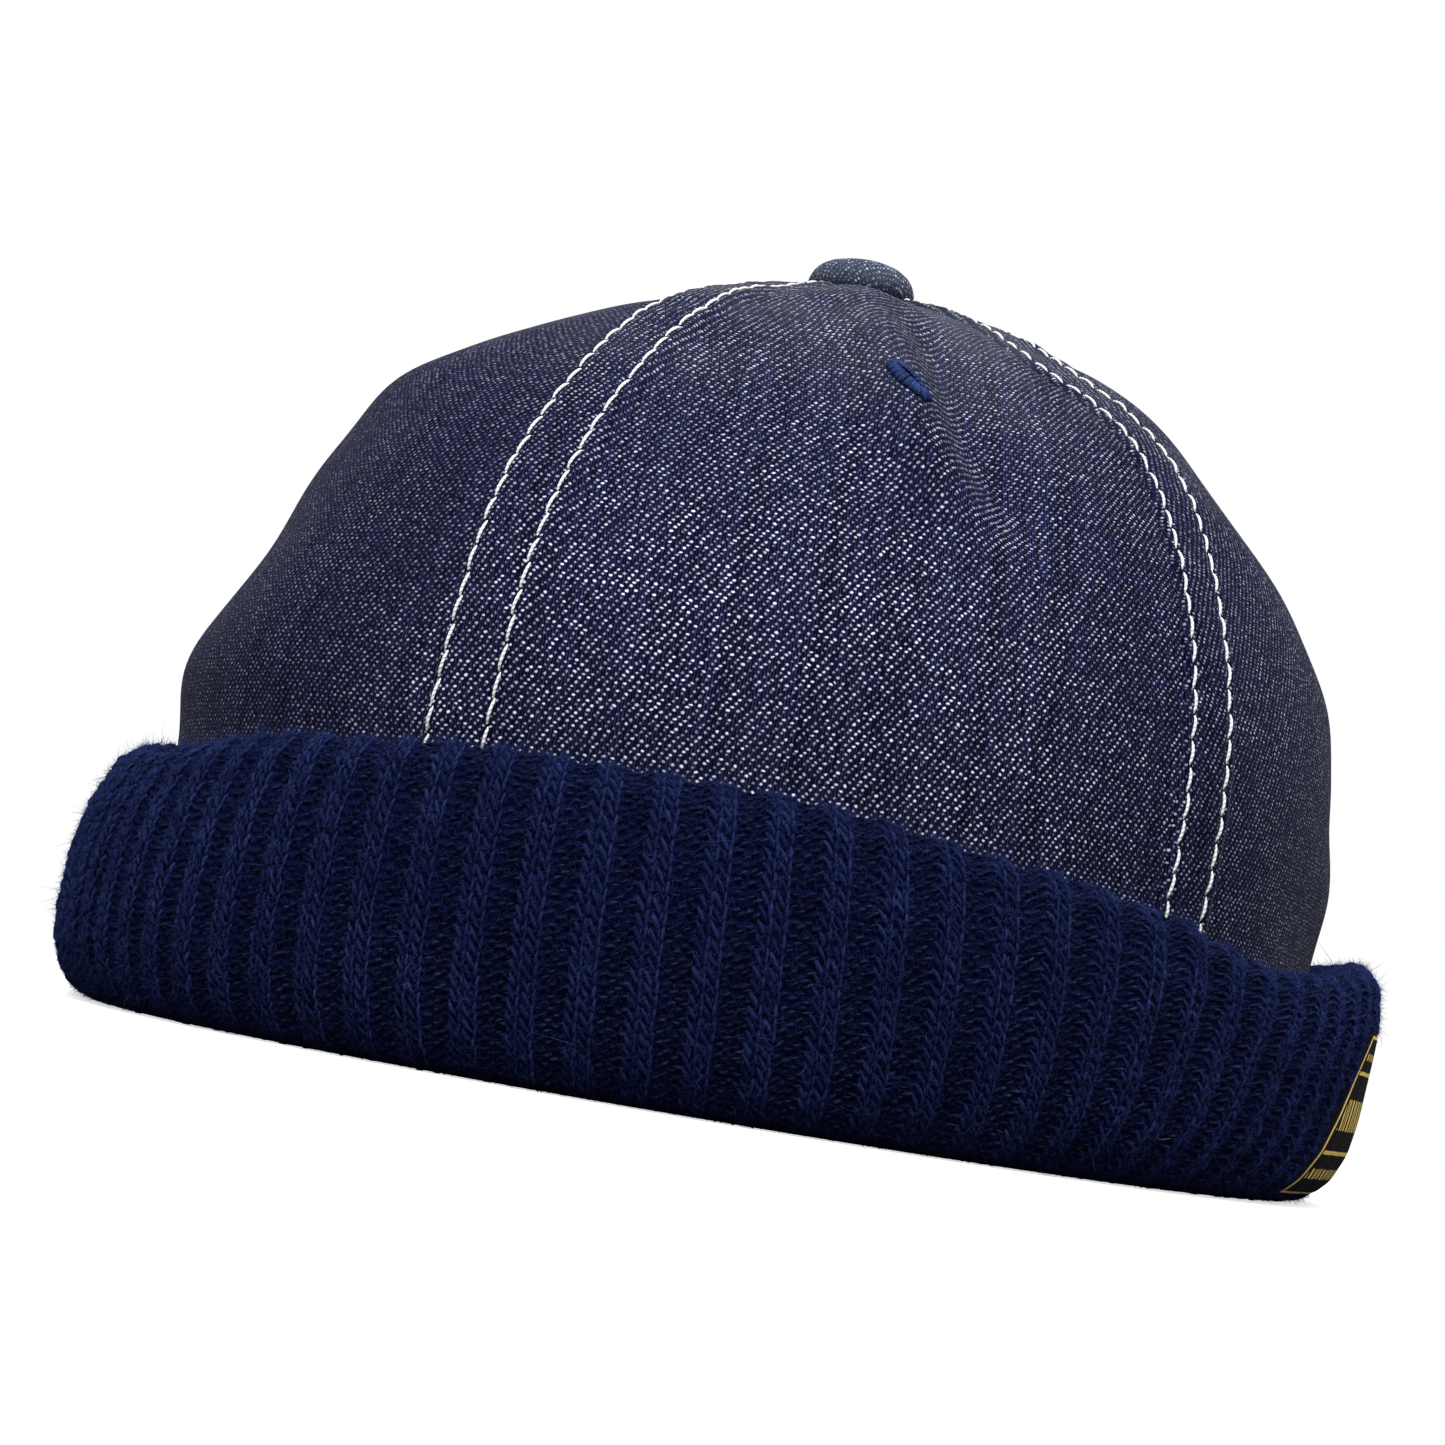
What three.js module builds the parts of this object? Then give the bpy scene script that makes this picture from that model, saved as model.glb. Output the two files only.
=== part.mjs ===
// Fisherman cap: six lapped denim gores, covered button, thread eyelets, turned-up rib cuff and woven label.
// Millimetres, +Z up. The front faces -Y, the wearer's left is +X and the cuff rests at z = 0.
import * as THREE from "three";

// Crown dome, measured to the outer face of the cloth
const CROWN_HALF_LENGTH = 104;
const CROWN_HALF_WIDTH = 88;
const SHOULDER_HEIGHT = 45.8;
const DOME_RISE = 84.2;
const DOME_ROUNDNESS = 2.11;
const TIP_SHARE = 0.25;
const CROWN_EDGE_DROP = 38.5;
const CLOTH = 1.2;
const GAP = 0.3;

// The soft crown leans over the cuff, and its tip sits a little back towards the middle
const LEAN = { x: 5.39, y: 2.39, over: 120, level: 20 };
const TIP_SHIFT = { x: -3.2, y: -1.42, from: 112, to: 133 };

// Seam angles run from the front towards the wearer's left: the two front gores are the widest
const SEAM_ANGLES = [0, 67.6, 123.8, 180, 236.2, 292.4];
const FULL_MARGIN_RADIUS = 22;
const LAP_LIFT = CLOTH + GAP;

// Columns of one gore: the raised lap on its first seam, then the flat margin under the next gore's lap
const LAP_COLUMNS = [
  { beside: -5.45, lift: LAP_LIFT },
  { beside: 0, lift: LAP_LIFT },
  { beside: 5, lift: LAP_LIFT },
  { beside: 8, lift: 0 },
];
const MIDDLE_COLUMNS = 6;
const MARGIN_COLUMNS = [
  { beside: -5.45, lift: 0 },
  { beside: 0, lift: 0 },
  { beside: 4, lift: 0 },
];

// Rows of one gore: millimetres below the shoulder, then degrees of climb over the dome
const GORE_ROWS = [-CROWN_EDGE_DROP, -20, 0, 9, 18, 27, 36, 45, 54, 63, 70, 76.6, 81, 84.5, 87.4];

// Soft dents and swells of the cloth: where they are, how far out they push and how far they spread
const DENTS = [
  { angle: -52, height: 51, out: 2.5, wide: 22, tall: 8 },
  { angle: -47, height: 73, out: -2.1, wide: 20, tall: 11 },
  { angle: -43, height: 98, out: 1.9, wide: 14, tall: 6 },
  { angle: -27, height: 118, out: -2.2, wide: 16, tall: 8 },
  { angle: 32, height: 110, out: 0.7, wide: 7, tall: 14 },
  { angle: 46, height: 102, out: -1.1, wide: 8, tall: 15 },
  { angle: 10, height: 125, out: -0.7, wide: 50, tall: 4 },
  { angle: 81, height: 117, out: 1.4, wide: 12, tall: 6 },
  { angle: 96, height: 104, out: -1.9, wide: 12, tall: 9 },
  { angle: 103, height: 76, out: 1.1, wide: 14, tall: 8 },
  { angle: 105, height: 58, out: -1, wide: 14, tall: 5 },
  { angle: 108, height: 47, out: 1.3, wide: 16, tall: 6 },
  { angle: 152, height: 88, out: -1.3, wide: 18, tall: 13 },
  { angle: 205, height: 66, out: 1, wide: 16, tall: 10 },
  { angle: 242, height: 92, out: -1.4, wide: 17, tall: 12 },
  { angle: 275, height: 62, out: 1, wide: 15, tall: 9 },
];

// Covered button: radius from its axis and height over the crown tip
const BUTTON_PROFILE = [
  { radius: 0, over: -4.6 },
  { radius: 6, over: -4.6 },
  { radius: 6, over: -3.3 },
  { radius: 3.4, over: -3.3 },
  { radius: 3.4, over: 1.5 },
  { radius: 8.3, over: 0.6 },
  { radius: 8.8, over: 2 },
  { radius: 8.3, over: 3.7 },
  { radius: 6.8, over: 5.2 },
  { radius: 4, over: 6 },
  { radius: 0, over: 6.3 },
];
const BUTTON_SIDES = 28;

// Thread eyelets: a slim oval near the top of every second gore, its long side half turned round
const EYELET = { across: 4, along: 8.6, turn: 46, climb: 40.9 };
const EYELET_PLACES = [
  { gore: 1, share: 0.48 },
  { gore: 3, share: 0.5 },
  { gore: 5, share: 0.5 },
];
const EYELET_PROFILE = [
  { radius: 0, over: 0.4 },
  { radius: 1, over: 0.4 },
  { radius: 1, over: 0.7 },
  { radius: 0.6, over: 1 },
  { radius: 0, over: 1.1 },
];
const EYELET_SIDES = 14;

// Turned-up cuff: its section round the crown's lower edge, with its shares of the rib and of the rim's flare
const CUFF_SECTION = [
  { out: -3, up: 0, rib: 0, flare: 0 },
  { out: 3.5, up: 0, rib: 0, flare: 0 },
  { out: 7, up: 1.2, rib: 0.3, flare: 0 },
  { out: 9.6, up: 4, rib: 0.8, flare: 0 },
  { out: 11.4, up: 8.5, rib: 1, flare: 0 },
  { out: 12.1, up: 14, rib: 1, flare: 0 },
  { out: 12.2, up: 22, rib: 1, flare: 0.1 },
  { out: 11.7, up: 28.5, rib: 1, flare: 0.45 },
  { out: 9.6, up: 35.8, rib: 0.9, flare: 0.85 },
  { out: 6.2, up: 38.8, rib: 0.5, flare: 1 },
  { out: 3.2, up: 37, rib: 0, flare: 0 },
  { out: 2.2, up: 32, rib: 0, flare: 0 },
  { out: 2.2, up: 7, rib: 0, flare: 0 },
  { out: -2, up: 7, rib: 0, flare: 0 },
  { out: -2, up: 17, rib: 0, flare: 0 },
  { out: -3.8, up: 18, rib: 0.2, flare: 0 },
  { out: -4.5, up: 5, rib: 0.4, flare: 0 },
];
const CUFF_TOP = 38.8;
const CUFF_FOLD_LEVEL = 20;
const RIB_COUNT = 86;
const RIB_DEPTH = 1.4;

// The cuff's top edge wanders round the cap, and flares out on the wearer's left
const CUFF_RIM = [
  { angle: -140, top: 39, flare: 0 },
  { angle: -70, top: 38.6, flare: -1.2 },
  { angle: -30, top: 38.4, flare: -1.2 },
  { angle: -10, top: 41.2, flare: 0 },
  { angle: 6, top: 42.6, flare: 0 },
  { angle: 28, top: 42.4, flare: 0 },
  { angle: 50, top: 40, flare: 0 },
  { angle: 62, top: 38.2, flare: 0.2 },
  { angle: 69, top: 35.8, flare: 0.5 },
  { angle: 76, top: 34.2, flare: 0.8 },
  { angle: 84, top: 34.8, flare: 1.4 },
  { angle: 98, top: 37.8, flare: 2.2 },
  { angle: 114, top: 40, flare: 2.4 },
  { angle: 150, top: 39.4, flare: 0.8 },
];

// Woven label on the cuff: rib columns it covers, columns it slants by, and section points it runs between
const LABEL = { firstColumn: 41, lastColumn: 54.5, slant: 5.5, firstPoint: 2, lastPoint: 7 };
const LABEL_COLUMNS = 8;
const LABEL_THICKNESS = 0.8;
const LABEL_RECESS = 1.3;

// Finishes
const DENIM = { color: "#3a3c56", roughness: 0.95, metalness: 0 };
const THREAD = { color: "#2b3d70", roughness: 0.8, metalness: 0 };
const KNIT = { color: "#0f1633", roughness: 1, metalness: 0 };
const WOVEN = { color: "#141414", roughness: 0.7, metalness: 0 };

const radians = THREE.MathUtils.degToRad;
const DEGREE = radians(1);
const STEP = 1e-3;
const tipRise = Math.sqrt(1 - TIP_SHARE ** DOME_ROUNDNESS);
const tipSlope = (DOME_RISE * DOME_ROUNDNESS * TIP_SHARE ** (DOME_ROUNDNESS - 1)) / (2 * tipRise);

// Height of the dome where its plan has shrunk to a share of the full size; the tip runs up straight
function domeHeight(share) {
  const held = Math.max(share, TIP_SHARE);
  const round = SHOULDER_HEIGHT + DOME_RISE * Math.sqrt(1 - held ** DOME_ROUNDNESS);
  return round + (held - share) * tipSlope;
}

// Plan share and height of one row of the crown
function station(climb) {
  if (climb <= 0) return { share: 1, height: SHOULDER_HEIGHT + climb };
  const share = Math.cos(climb * DEGREE) ** (2 / DOME_ROUNDNESS);
  return { share, height: domeHeight(share) };
}

// Sideways shift of the cap's middle at a height
function leanAt(height) {
  const rise = (height - LEAN.level) / LEAN.over;
  const tip = THREE.MathUtils.smoothstep(height, TIP_SHIFT.from, TIP_SHIFT.to);
  return { x: LEAN.x * rise + TIP_SHIFT.x * tip, y: LEAN.y * rise + TIP_SHIFT.y * tip };
}

// Smooth crown without dents
function domePoint(angle, climb) {
  const { share, height } = station(climb);
  const lean = leanAt(height);
  return new THREE.Vector3(
    CROWN_HALF_WIDTH * share * Math.sin(angle) + lean.x,
    -CROWN_HALF_LENGTH * share * Math.cos(angle) + lean.y,
    height,
  );
}

// Outward direction of the smooth crown, with the directions round it and up it
function domeFrame(angle, climb) {
  const round = domePoint(angle + STEP, climb).sub(domePoint(angle - STEP, climb));
  const up = domePoint(angle, climb + STEP).sub(domePoint(angle, climb - STEP));
  const outward = new THREE.Vector3().crossVectors(round, up).normalize();
  return { outward, roundRate: round.length() / (2 * STEP), upRate: up.length() / (2 * STEP) };
}

// How far the dents and swells push the cloth out
function dentAt(angle, height) {
  return DENTS.reduce((total, dent) => {
    const turn = angle - radians(dent.angle);
    const aside = Math.atan2(Math.sin(turn), Math.cos(turn)) / radians(dent.wide);
    const above = (height - dent.height) / dent.tall;
    return total + dent.out * Math.exp(-aside * aside - above * above);
  }, 0);
}

// Crown with its dents, moved out by an offset
function crownPoint(angle, climb, offset) {
  const { outward } = domeFrame(angle, climb);
  const push = dentAt(angle, station(climb).height) + offset;
  return domePoint(angle, climb).addScaledVector(outward, push);
}

// Angle of a point beside a seam, its margin shrinking towards the tip
function besideSeam(seam, beside, climb) {
  const { roundRate } = domeFrame(seam, climb);
  return seam + (beside * Math.min(1, roundRate / FULL_MARGIN_RADIUS)) / roundRate;
}

// Geometry from a list of points and quads
function geometryOf(points, quads) {
  const geometry = new THREE.BufferGeometry().setFromPoints(points);
  geometry.setIndex(quads.flatMap(([a, b, c, d]) => [a, b, c, a, c, d]));
  geometry.computeVertexNormals();
  return geometry;
}

// Closed wall between an outer and an inner grid of points, rows running up and columns running round
function wallBetween(outer, inner) {
  const rows = outer.length;
  const columns = outer[0].length;
  const out = (row, column) => row * columns + column;
  const within = (row, column) => rows * columns + out(row, column);
  const quads = [];
  for (let row = 0; row + 1 < rows; row++) {
    for (let column = 0; column + 1 < columns; column++) {
      const corners = [
        [row, column],
        [row, column + 1],
        [row + 1, column + 1],
        [row + 1, column],
      ];
      quads.push(corners.map(([r, c]) => out(r, c)));
      quads.push(corners.map(([r, c]) => within(r, c)).reverse());
    }
    const last = columns - 1;
    quads.push([within(row, 0), out(row, 0), out(row + 1, 0), within(row + 1, 0)]);
    quads.push([out(row, last), within(row, last), within(row + 1, last), out(row + 1, last)]);
  }
  for (let column = 0; column + 1 < columns; column++) {
    const top = rows - 1;
    quads.push([within(0, column), within(0, column + 1), out(0, column + 1), out(0, column)]);
    quads.push([out(top, column), out(top, column + 1), within(top, column + 1), within(top, column)]);
  }
  return geometryOf([...outer.flat(), ...inner.flat()], quads);
}

// One gore from its own seam to a margin under the next gore
function goreGeometry(firstSeam, nextSeam) {
  const along = (columns, seam, climb) =>
    columns.map(({ beside, lift }) => ({ angle: besideSeam(seam, beside, climb), lift }));
  const grid = (drop) =>
    GORE_ROWS.map((climb) => {
      const lap = along(LAP_COLUMNS, firstSeam, climb);
      const margin = along(MARGIN_COLUMNS, nextSeam, climb);
      const start = lap.at(-1).angle;
      const middle = Array.from({ length: MIDDLE_COLUMNS }, (_, i) => ({
        angle: THREE.MathUtils.lerp(start, margin[0].angle, (i + 1) / (MIDDLE_COLUMNS + 1)),
        lift: 0,
      }));
      return [...lap, ...middle, ...margin].map(({ angle, lift }) => crownPoint(angle, climb, lift - drop));
    });
  return wallBetween(grid(0), grid(CLOTH));
}

// Profile of a turned solid
function turned(profile, sides) {
  return new THREE.LatheGeometry(
    profile.map(({ radius, over }) => new THREE.Vector2(radius, over)),
    sides,
  );
}

// Domed oval of thread laid on the crown
function eyeletGeometry(angle) {
  const geometry = turned(EYELET_PROFILE, EYELET_SIDES);
  const { roundRate, upRate } = domeFrame(angle, EYELET.climb);
  const position = geometry.getAttribute("position");
  const turn = radians(EYELET.turn);
  for (let i = 0; i < position.count; i++) {
    const across = (position.getX(i) * EYELET.across) / 2;
    const along = (-position.getZ(i) * EYELET.along) / 2;
    const sideways = across * Math.cos(turn) - along * Math.sin(turn);
    const upwards = across * Math.sin(turn) + along * Math.cos(turn);
    const over = position.getY(i);
    const laid = crownPoint(angle + sideways / roundRate, EYELET.climb + upwards / upRate, over);
    position.setXYZ(i, laid.x, laid.y, laid.z);
  }
  geometry.computeVertexNormals();
  return geometry;
}

// One column of the rim table at an angle, eased between its rows
function rimAt(name, degrees) {
  const first = CUFF_RIM[0].angle;
  const wrapped = first + THREE.MathUtils.euclideanModulo(degrees - first, 360);
  const rows = [...CUFF_RIM, { ...CUFF_RIM[0], angle: first + 360 }];
  const next = rows.findIndex((row) => row.angle > wrapped);
  const before = rows[next - 1];
  const after = rows[next];
  const ease = THREE.MathUtils.smoothstep(wrapped, before.angle, after.angle);
  return THREE.MathUtils.lerp(before[name], after[name], ease);
}

const cuffColumns = 2 * RIB_COUNT;
const isUnderLabel = (column, point) =>
  column >= LABEL.firstColumn - 1 &&
  column <= LABEL.lastColumn + LABEL.slant + 1 &&
  point >= LABEL.firstPoint &&
  point <= LABEL.lastPoint;

// Place of a section point at one column of the cuff: even columns are ribs and odd ones valleys
function cuffPlace(column, point) {
  const degrees = (column * 360) / cuffColumns;
  const { out, up, rib, flare } = CUFF_SECTION[point];
  const overFold = Math.max(0, up - CUFF_FOLD_LEVEL) / (CUFF_TOP - CUFF_FOLD_LEVEL);
  const valley = column % 2 === 0 ? 0 : RIB_DEPTH * rib;
  const hollow = isUnderLabel(column, point) ? LABEL_RECESS : valley;
  return {
    angle: radians(degrees),
    out: out + flare * rimAt("flare", degrees) - hollow,
    up: up + overFold * (rimAt("top", degrees) - CUFF_TOP),
  };
}

// Point standing out from the upright crown wall
function besideWall({ angle, out, up }) {
  const outward = new THREE.Vector2(Math.sin(angle) / CROWN_HALF_WIDTH, -Math.cos(angle) / CROWN_HALF_LENGTH);
  outward.normalize();
  const lean = leanAt(up);
  return new THREE.Vector3(
    CROWN_HALF_WIDTH * Math.sin(angle) + outward.x * out + lean.x,
    -CROWN_HALF_LENGTH * Math.cos(angle) + outward.y * out + lean.y,
    up,
  );
}

// Ribbed band with a groove for the crown's lower edge
function cuffGeometry() {
  const count = CUFF_SECTION.length;
  const points = [];
  const quads = [];
  for (let column = 0; column < cuffColumns; column++) {
    const beside = (column + 1) % cuffColumns;
    for (let point = 0; point < count; point++) {
      const next = (point + 1) % count;
      points.push(besideWall(cuffPlace(column, point)));
      quads.push([
        column * count + point,
        beside * count + point,
        beside * count + next,
        column * count + next,
      ]);
    }
  }
  return geometryOf(points, quads);
}

// Label laid in the hollow of the cuff, a row of points for each section point it crosses
function labelGeometry() {
  const { firstColumn, lastColumn, slant, firstPoint, lastPoint } = LABEL;
  const pointOn = (share, point, offset) => {
    const shift = slant * ((point - firstPoint) / (lastPoint - firstPoint)) ** 2;
    const column = THREE.MathUtils.lerp(firstColumn, lastColumn, share) + shift;
    const place = cuffPlace(column, point);
    const below = cuffPlace(column, Math.max(point - 1, firstPoint));
    const above = cuffPlace(column, Math.min(point + 1, lastPoint));
    const along = new THREE.Vector2(above.out - below.out, above.up - below.up).normalize();
    return besideWall({ ...place, out: place.out + along.y * offset, up: place.up - along.x * offset });
  };
  const rowOf = (point, offset) =>
    Array.from({ length: LABEL_COLUMNS }, (_, i) => pointOn(i / (LABEL_COLUMNS - 1), point, offset));
  const face = (offset) =>
    Array.from({ length: lastPoint - firstPoint + 1 }, (_, row) => rowOf(firstPoint + row, offset));
  return wallBetween(face(GAP + LABEL_THICKNESS), face(GAP));
}

const cap = new THREE.Group();
cap.name = "fisherman_cap";

function addPart(name, geometry, finish) {
  const mesh = new THREE.Mesh(geometry, new THREE.MeshStandardMaterial(finish));
  mesh.name = name;
  cap.add(mesh);
  return mesh;
}

const seamAt = (i) => radians(SEAM_ANGLES[i] ?? SEAM_ANGLES[0] + 360);

SEAM_ANGLES.forEach((_, i) => addPart(`crown_panel_${i + 1}`, goreGeometry(seamAt(i), seamAt(i + 1)), DENIM));

EYELET_PLACES.forEach(({ gore, share }) => {
  const angle = THREE.MathUtils.lerp(seamAt(gore - 1), seamAt(gore), share);
  addPart(`eyelet_${gore}`, eyeletGeometry(angle), THREAD);
});

const tipHeight = domeHeight(0);
const tipLean = leanAt(tipHeight);
const button = addPart("top_button", turned(BUTTON_PROFILE, BUTTON_SIDES).rotateX(Math.PI / 2), DENIM);
button.position.set(tipLean.x, tipLean.y, tipHeight);

addPart("ribbed_cuff", cuffGeometry(), KNIT);
addPart("side_label", labelGeometry(), WOVEN);

export default cap;
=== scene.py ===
"""Fisherman cap: lapped denim gores, topstitching, covered button, thread eyelets, rib cuff and woven label.

Shapes are worked out in millimetres and put into the meshes in metres. The front faces -Y, the wearer's
left is +X and the cuff rests at z = 0. Angles run from the front towards the wearer's left.
"""

import logging
import math
from dataclasses import dataclass, field
from enum import Enum
from typing import NamedTuple

import bpy
import numpy as np
from mathutils import Matrix


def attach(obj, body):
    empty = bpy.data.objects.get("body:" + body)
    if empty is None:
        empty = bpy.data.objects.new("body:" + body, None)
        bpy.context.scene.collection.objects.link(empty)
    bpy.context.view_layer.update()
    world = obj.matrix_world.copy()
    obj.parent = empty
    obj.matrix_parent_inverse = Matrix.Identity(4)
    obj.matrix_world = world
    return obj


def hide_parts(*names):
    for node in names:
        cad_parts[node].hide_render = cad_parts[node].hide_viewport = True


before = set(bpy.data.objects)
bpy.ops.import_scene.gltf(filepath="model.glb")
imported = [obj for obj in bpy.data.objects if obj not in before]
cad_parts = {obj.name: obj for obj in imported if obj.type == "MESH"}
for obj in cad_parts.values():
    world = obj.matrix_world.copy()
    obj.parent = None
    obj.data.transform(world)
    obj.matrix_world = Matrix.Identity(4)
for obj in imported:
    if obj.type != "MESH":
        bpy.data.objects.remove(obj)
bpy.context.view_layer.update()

Array = np.ndarray
Vector = tuple[float, float, float]
Tint = tuple[float, float, float, float]
Socket = bpy.types.NodeSocket

MM = 0.001
SEED = 41
BODY = "root"
CLOTH_MAP = "cloth"
STRAND = "strand"
log = logging.getLogger("fisherman_cap")


# Small numerical helpers


def ramp(value: Array, low: float, high: float) -> Array:
    """Ease from 0 at low to 1 at high: three times the squared share less twice its cube."""
    share = np.clip((value - low) / (high - low), 0, 1)
    return share * share * (3 - 2 * share)


def unit(vectors: Array) -> Array:
    """Vectors divided by their lengths."""
    return vectors / np.maximum(np.linalg.norm(vectors, axis=-1, keepdims=True), 1e-12)


def linear(red: int, green: int, blue: int) -> Tint:
    """Scene colour of a display colour given from 0 to 255."""
    display = np.array([red, green, blue]) / 255
    scene = np.where(display <= 0.04045, display / 12.92, ((display + 0.055) / 1.055) ** 2.4)
    return (*scene.tolist(), 1.0)


# Meshes


@dataclass
class Surface:
    """Points, faces and cloth coordinates of one piece, in millimetres.

    Faces are held as arrays of one width each, so quads and triangles can stand in one piece.
    """

    points: Array
    faces: list[Array]
    cloth: Array
    strand: Array | None = None
    finish_index: list[Array] | None = None

    @staticmethod
    def joined(parts: list["Surface"]) -> "Surface":
        """One surface that holds all the parts, their face numbers moved on."""
        starts = np.cumsum([0] + [len(part.points) for part in parts])
        faces = [block + start for part, start in zip(parts, starts) for block in part.faces]
        strands = [part.strand if part.strand is not None else np.zeros(len(part.points)) for part in parts]
        return Surface(
            np.concatenate([part.points for part in parts]),
            faces,
            np.concatenate([part.cloth for part in parts]),
            np.concatenate(strands),
        )

    def to_object(
        self, name: str, finishes: list[bpy.types.Material], sharp: float = 180
    ) -> bpy.types.Object:
        """Put the surface into a smooth shaded mesh object at the origin.

        Args:
            name: Name of the piece.
            finishes: Materials, in the order that finish_index counts them.
            sharp: Angle in degrees past which an edge stays crisp.

        Returns:
            The new object, linked to the scene.
        """
        mesh = bpy.data.meshes.new(name)
        loops = np.concatenate([block.ravel() for block in self.faces])
        widths = np.concatenate([np.full(len(block), block.shape[1]) for block in self.faces])
        mesh.vertices.add(len(self.points))
        mesh.vertices.foreach_set("co", (self.points * MM).astype(np.float32).ravel())
        mesh.loops.add(len(loops))
        mesh.loops.foreach_set("vertex_index", loops.astype(np.int32))
        mesh.polygons.add(len(widths))
        starts = np.concatenate([[0], np.cumsum(widths)[:-1]])
        mesh.polygons.foreach_set("loop_start", starts.astype(np.int32))
        if self.finish_index is not None:
            mesh.polygons.foreach_set("material_index", np.concatenate(self.finish_index).astype(np.int32))
        layer = mesh.uv_layers.new(name=CLOTH_MAP)
        layer.uv.foreach_set("vector", self.cloth[loops].astype(np.float32).ravel())
        if self.strand is not None:
            attribute = mesh.attributes.new(STRAND, "FLOAT", "POINT")
            attribute.data.foreach_set("value", self.strand.astype(np.float32))
        mesh.update(calc_edges=True)
        mesh.validate()
        mesh.shade_smooth()
        if sharp < 180:
            mesh.set_sharp_from_angle(angle=math.radians(sharp))
        for finish in finishes:
            mesh.materials.append(finish)
        piece = bpy.data.objects.new(name, mesh)
        bpy.context.scene.collection.objects.link(piece)
        return piece


def grid_quads(rows: int, columns: int, start: int = 0) -> Array:
    """Quads of a grid of points numbered row by row, facing (along the columns) x (along the rows)."""
    row, column = np.meshgrid(np.arange(rows - 1), np.arange(columns - 1), indexing="ij")
    corner = start + row * columns + column
    return np.stack([corner, corner + 1, corner + columns + 1, corner + columns], -1).reshape(-1, 4)


def closed_wall(outer: Array, inner: Array, cloth: Array) -> Surface:
    """Closed wall between two grids of points, with a strip of quads along each of the four edges.

    Args:
        outer: Outer points by row and column.
        inner: Inner points by row and column.
        cloth: Cloth coordinates by row and column, used on both faces.

    Returns:
        The wall. Its outer face and edges take the first finish and its inner face the second.
    """
    rows, columns = outer.shape[:2]
    number = np.arange(rows * columns).reshape(rows, columns)
    within = number + rows * columns
    front = grid_quads(rows, columns)
    back = grid_quads(rows, columns, rows * columns)[:, ::-1]
    edges = [
        (within[0], number[0]),
        (number[-1], within[-1]),
        (number[:, 0], within[:, 0]),
        (within[:, -1], number[:, -1]),
    ]
    strips = [np.stack([a[:-1], a[1:], b[1:], b[:-1]], -1) for a, b in edges]
    rim = np.concatenate(strips)
    points = np.concatenate([outer.reshape(-1, 3), inner.reshape(-1, 3)])
    finish_index = [np.zeros(len(front)), np.ones(len(back)), np.zeros(len(rim))]
    flat = cloth.reshape(-1, 2)
    return Surface(points, [front, back, rim], np.concatenate([flat, flat]), None, finish_index)


def tubes(path: Array, outward: Array, width: Array, height: Array, sides: int, strand: Array) -> Surface:
    """Closed tubes along many paths at once.

    Each ring is an oval about its path point: its half width lies along (path direction x outward) and its
    half height along the outward direction. Both ends are closed by flat quads.

    Args:
        path: Path points by tube and ring.
        outward: Outward directions by tube and ring.
        width: Half widths, broadcast over tube and ring.
        height: Half heights, broadcast over tube and ring.
        sides: Points of one ring, 4 or 6.
        strand: One value for each tube, for its colour.

    Returns:
        The tubes, with millimetres along the tube and the share round it as cloth coordinates.
    """
    count, rings = path.shape[:2]
    along = unit(np.gradient(path, axis=1))
    aside = unit(np.cross(along, outward))
    up = np.cross(aside, along)
    turn = 2 * np.pi * np.arange(sides) / sides
    wide = np.broadcast_to(width, (count, rings))[..., None, None]
    tall = np.broadcast_to(height, (count, rings))[..., None, None]
    ring = wide * np.cos(turn)[:, None] * aside[:, :, None] + tall * np.sin(turn)[:, None] * up[:, :, None]
    points = path[:, :, None] + ring
    number = np.arange(count * rings * sides).reshape(count, rings, sides)
    beside = np.roll(number, -1, axis=2)
    skin = np.stack([number[:, :-1], number[:, 1:], beside[:, 1:], beside[:, :-1]], -1).reshape(-1, 4)
    lids = np.array([[0, 1, 2, 3]] if sides == 4 else [[0, 1, 2, 3], [0, 3, 4, 5]])
    near = number[:, 0][:, lids].reshape(-1, 4)
    far = number[:, -1][:, lids[:, ::-1]].reshape(-1, 4)
    step = np.linalg.norm(np.diff(path, axis=1), axis=-1)
    run = np.concatenate([np.zeros((count, 1)), np.cumsum(step, axis=1)], axis=1)
    cloth = np.stack(np.broadcast_arrays(run[..., None], np.arange(sides) / sides), -1)
    shade = np.broadcast_to(strand[:, None, None], (count, rings, sides)).ravel()
    return Surface(points.reshape(-1, 3), [skin, near, far], cloth.reshape(-1, 2), shade)


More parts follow.
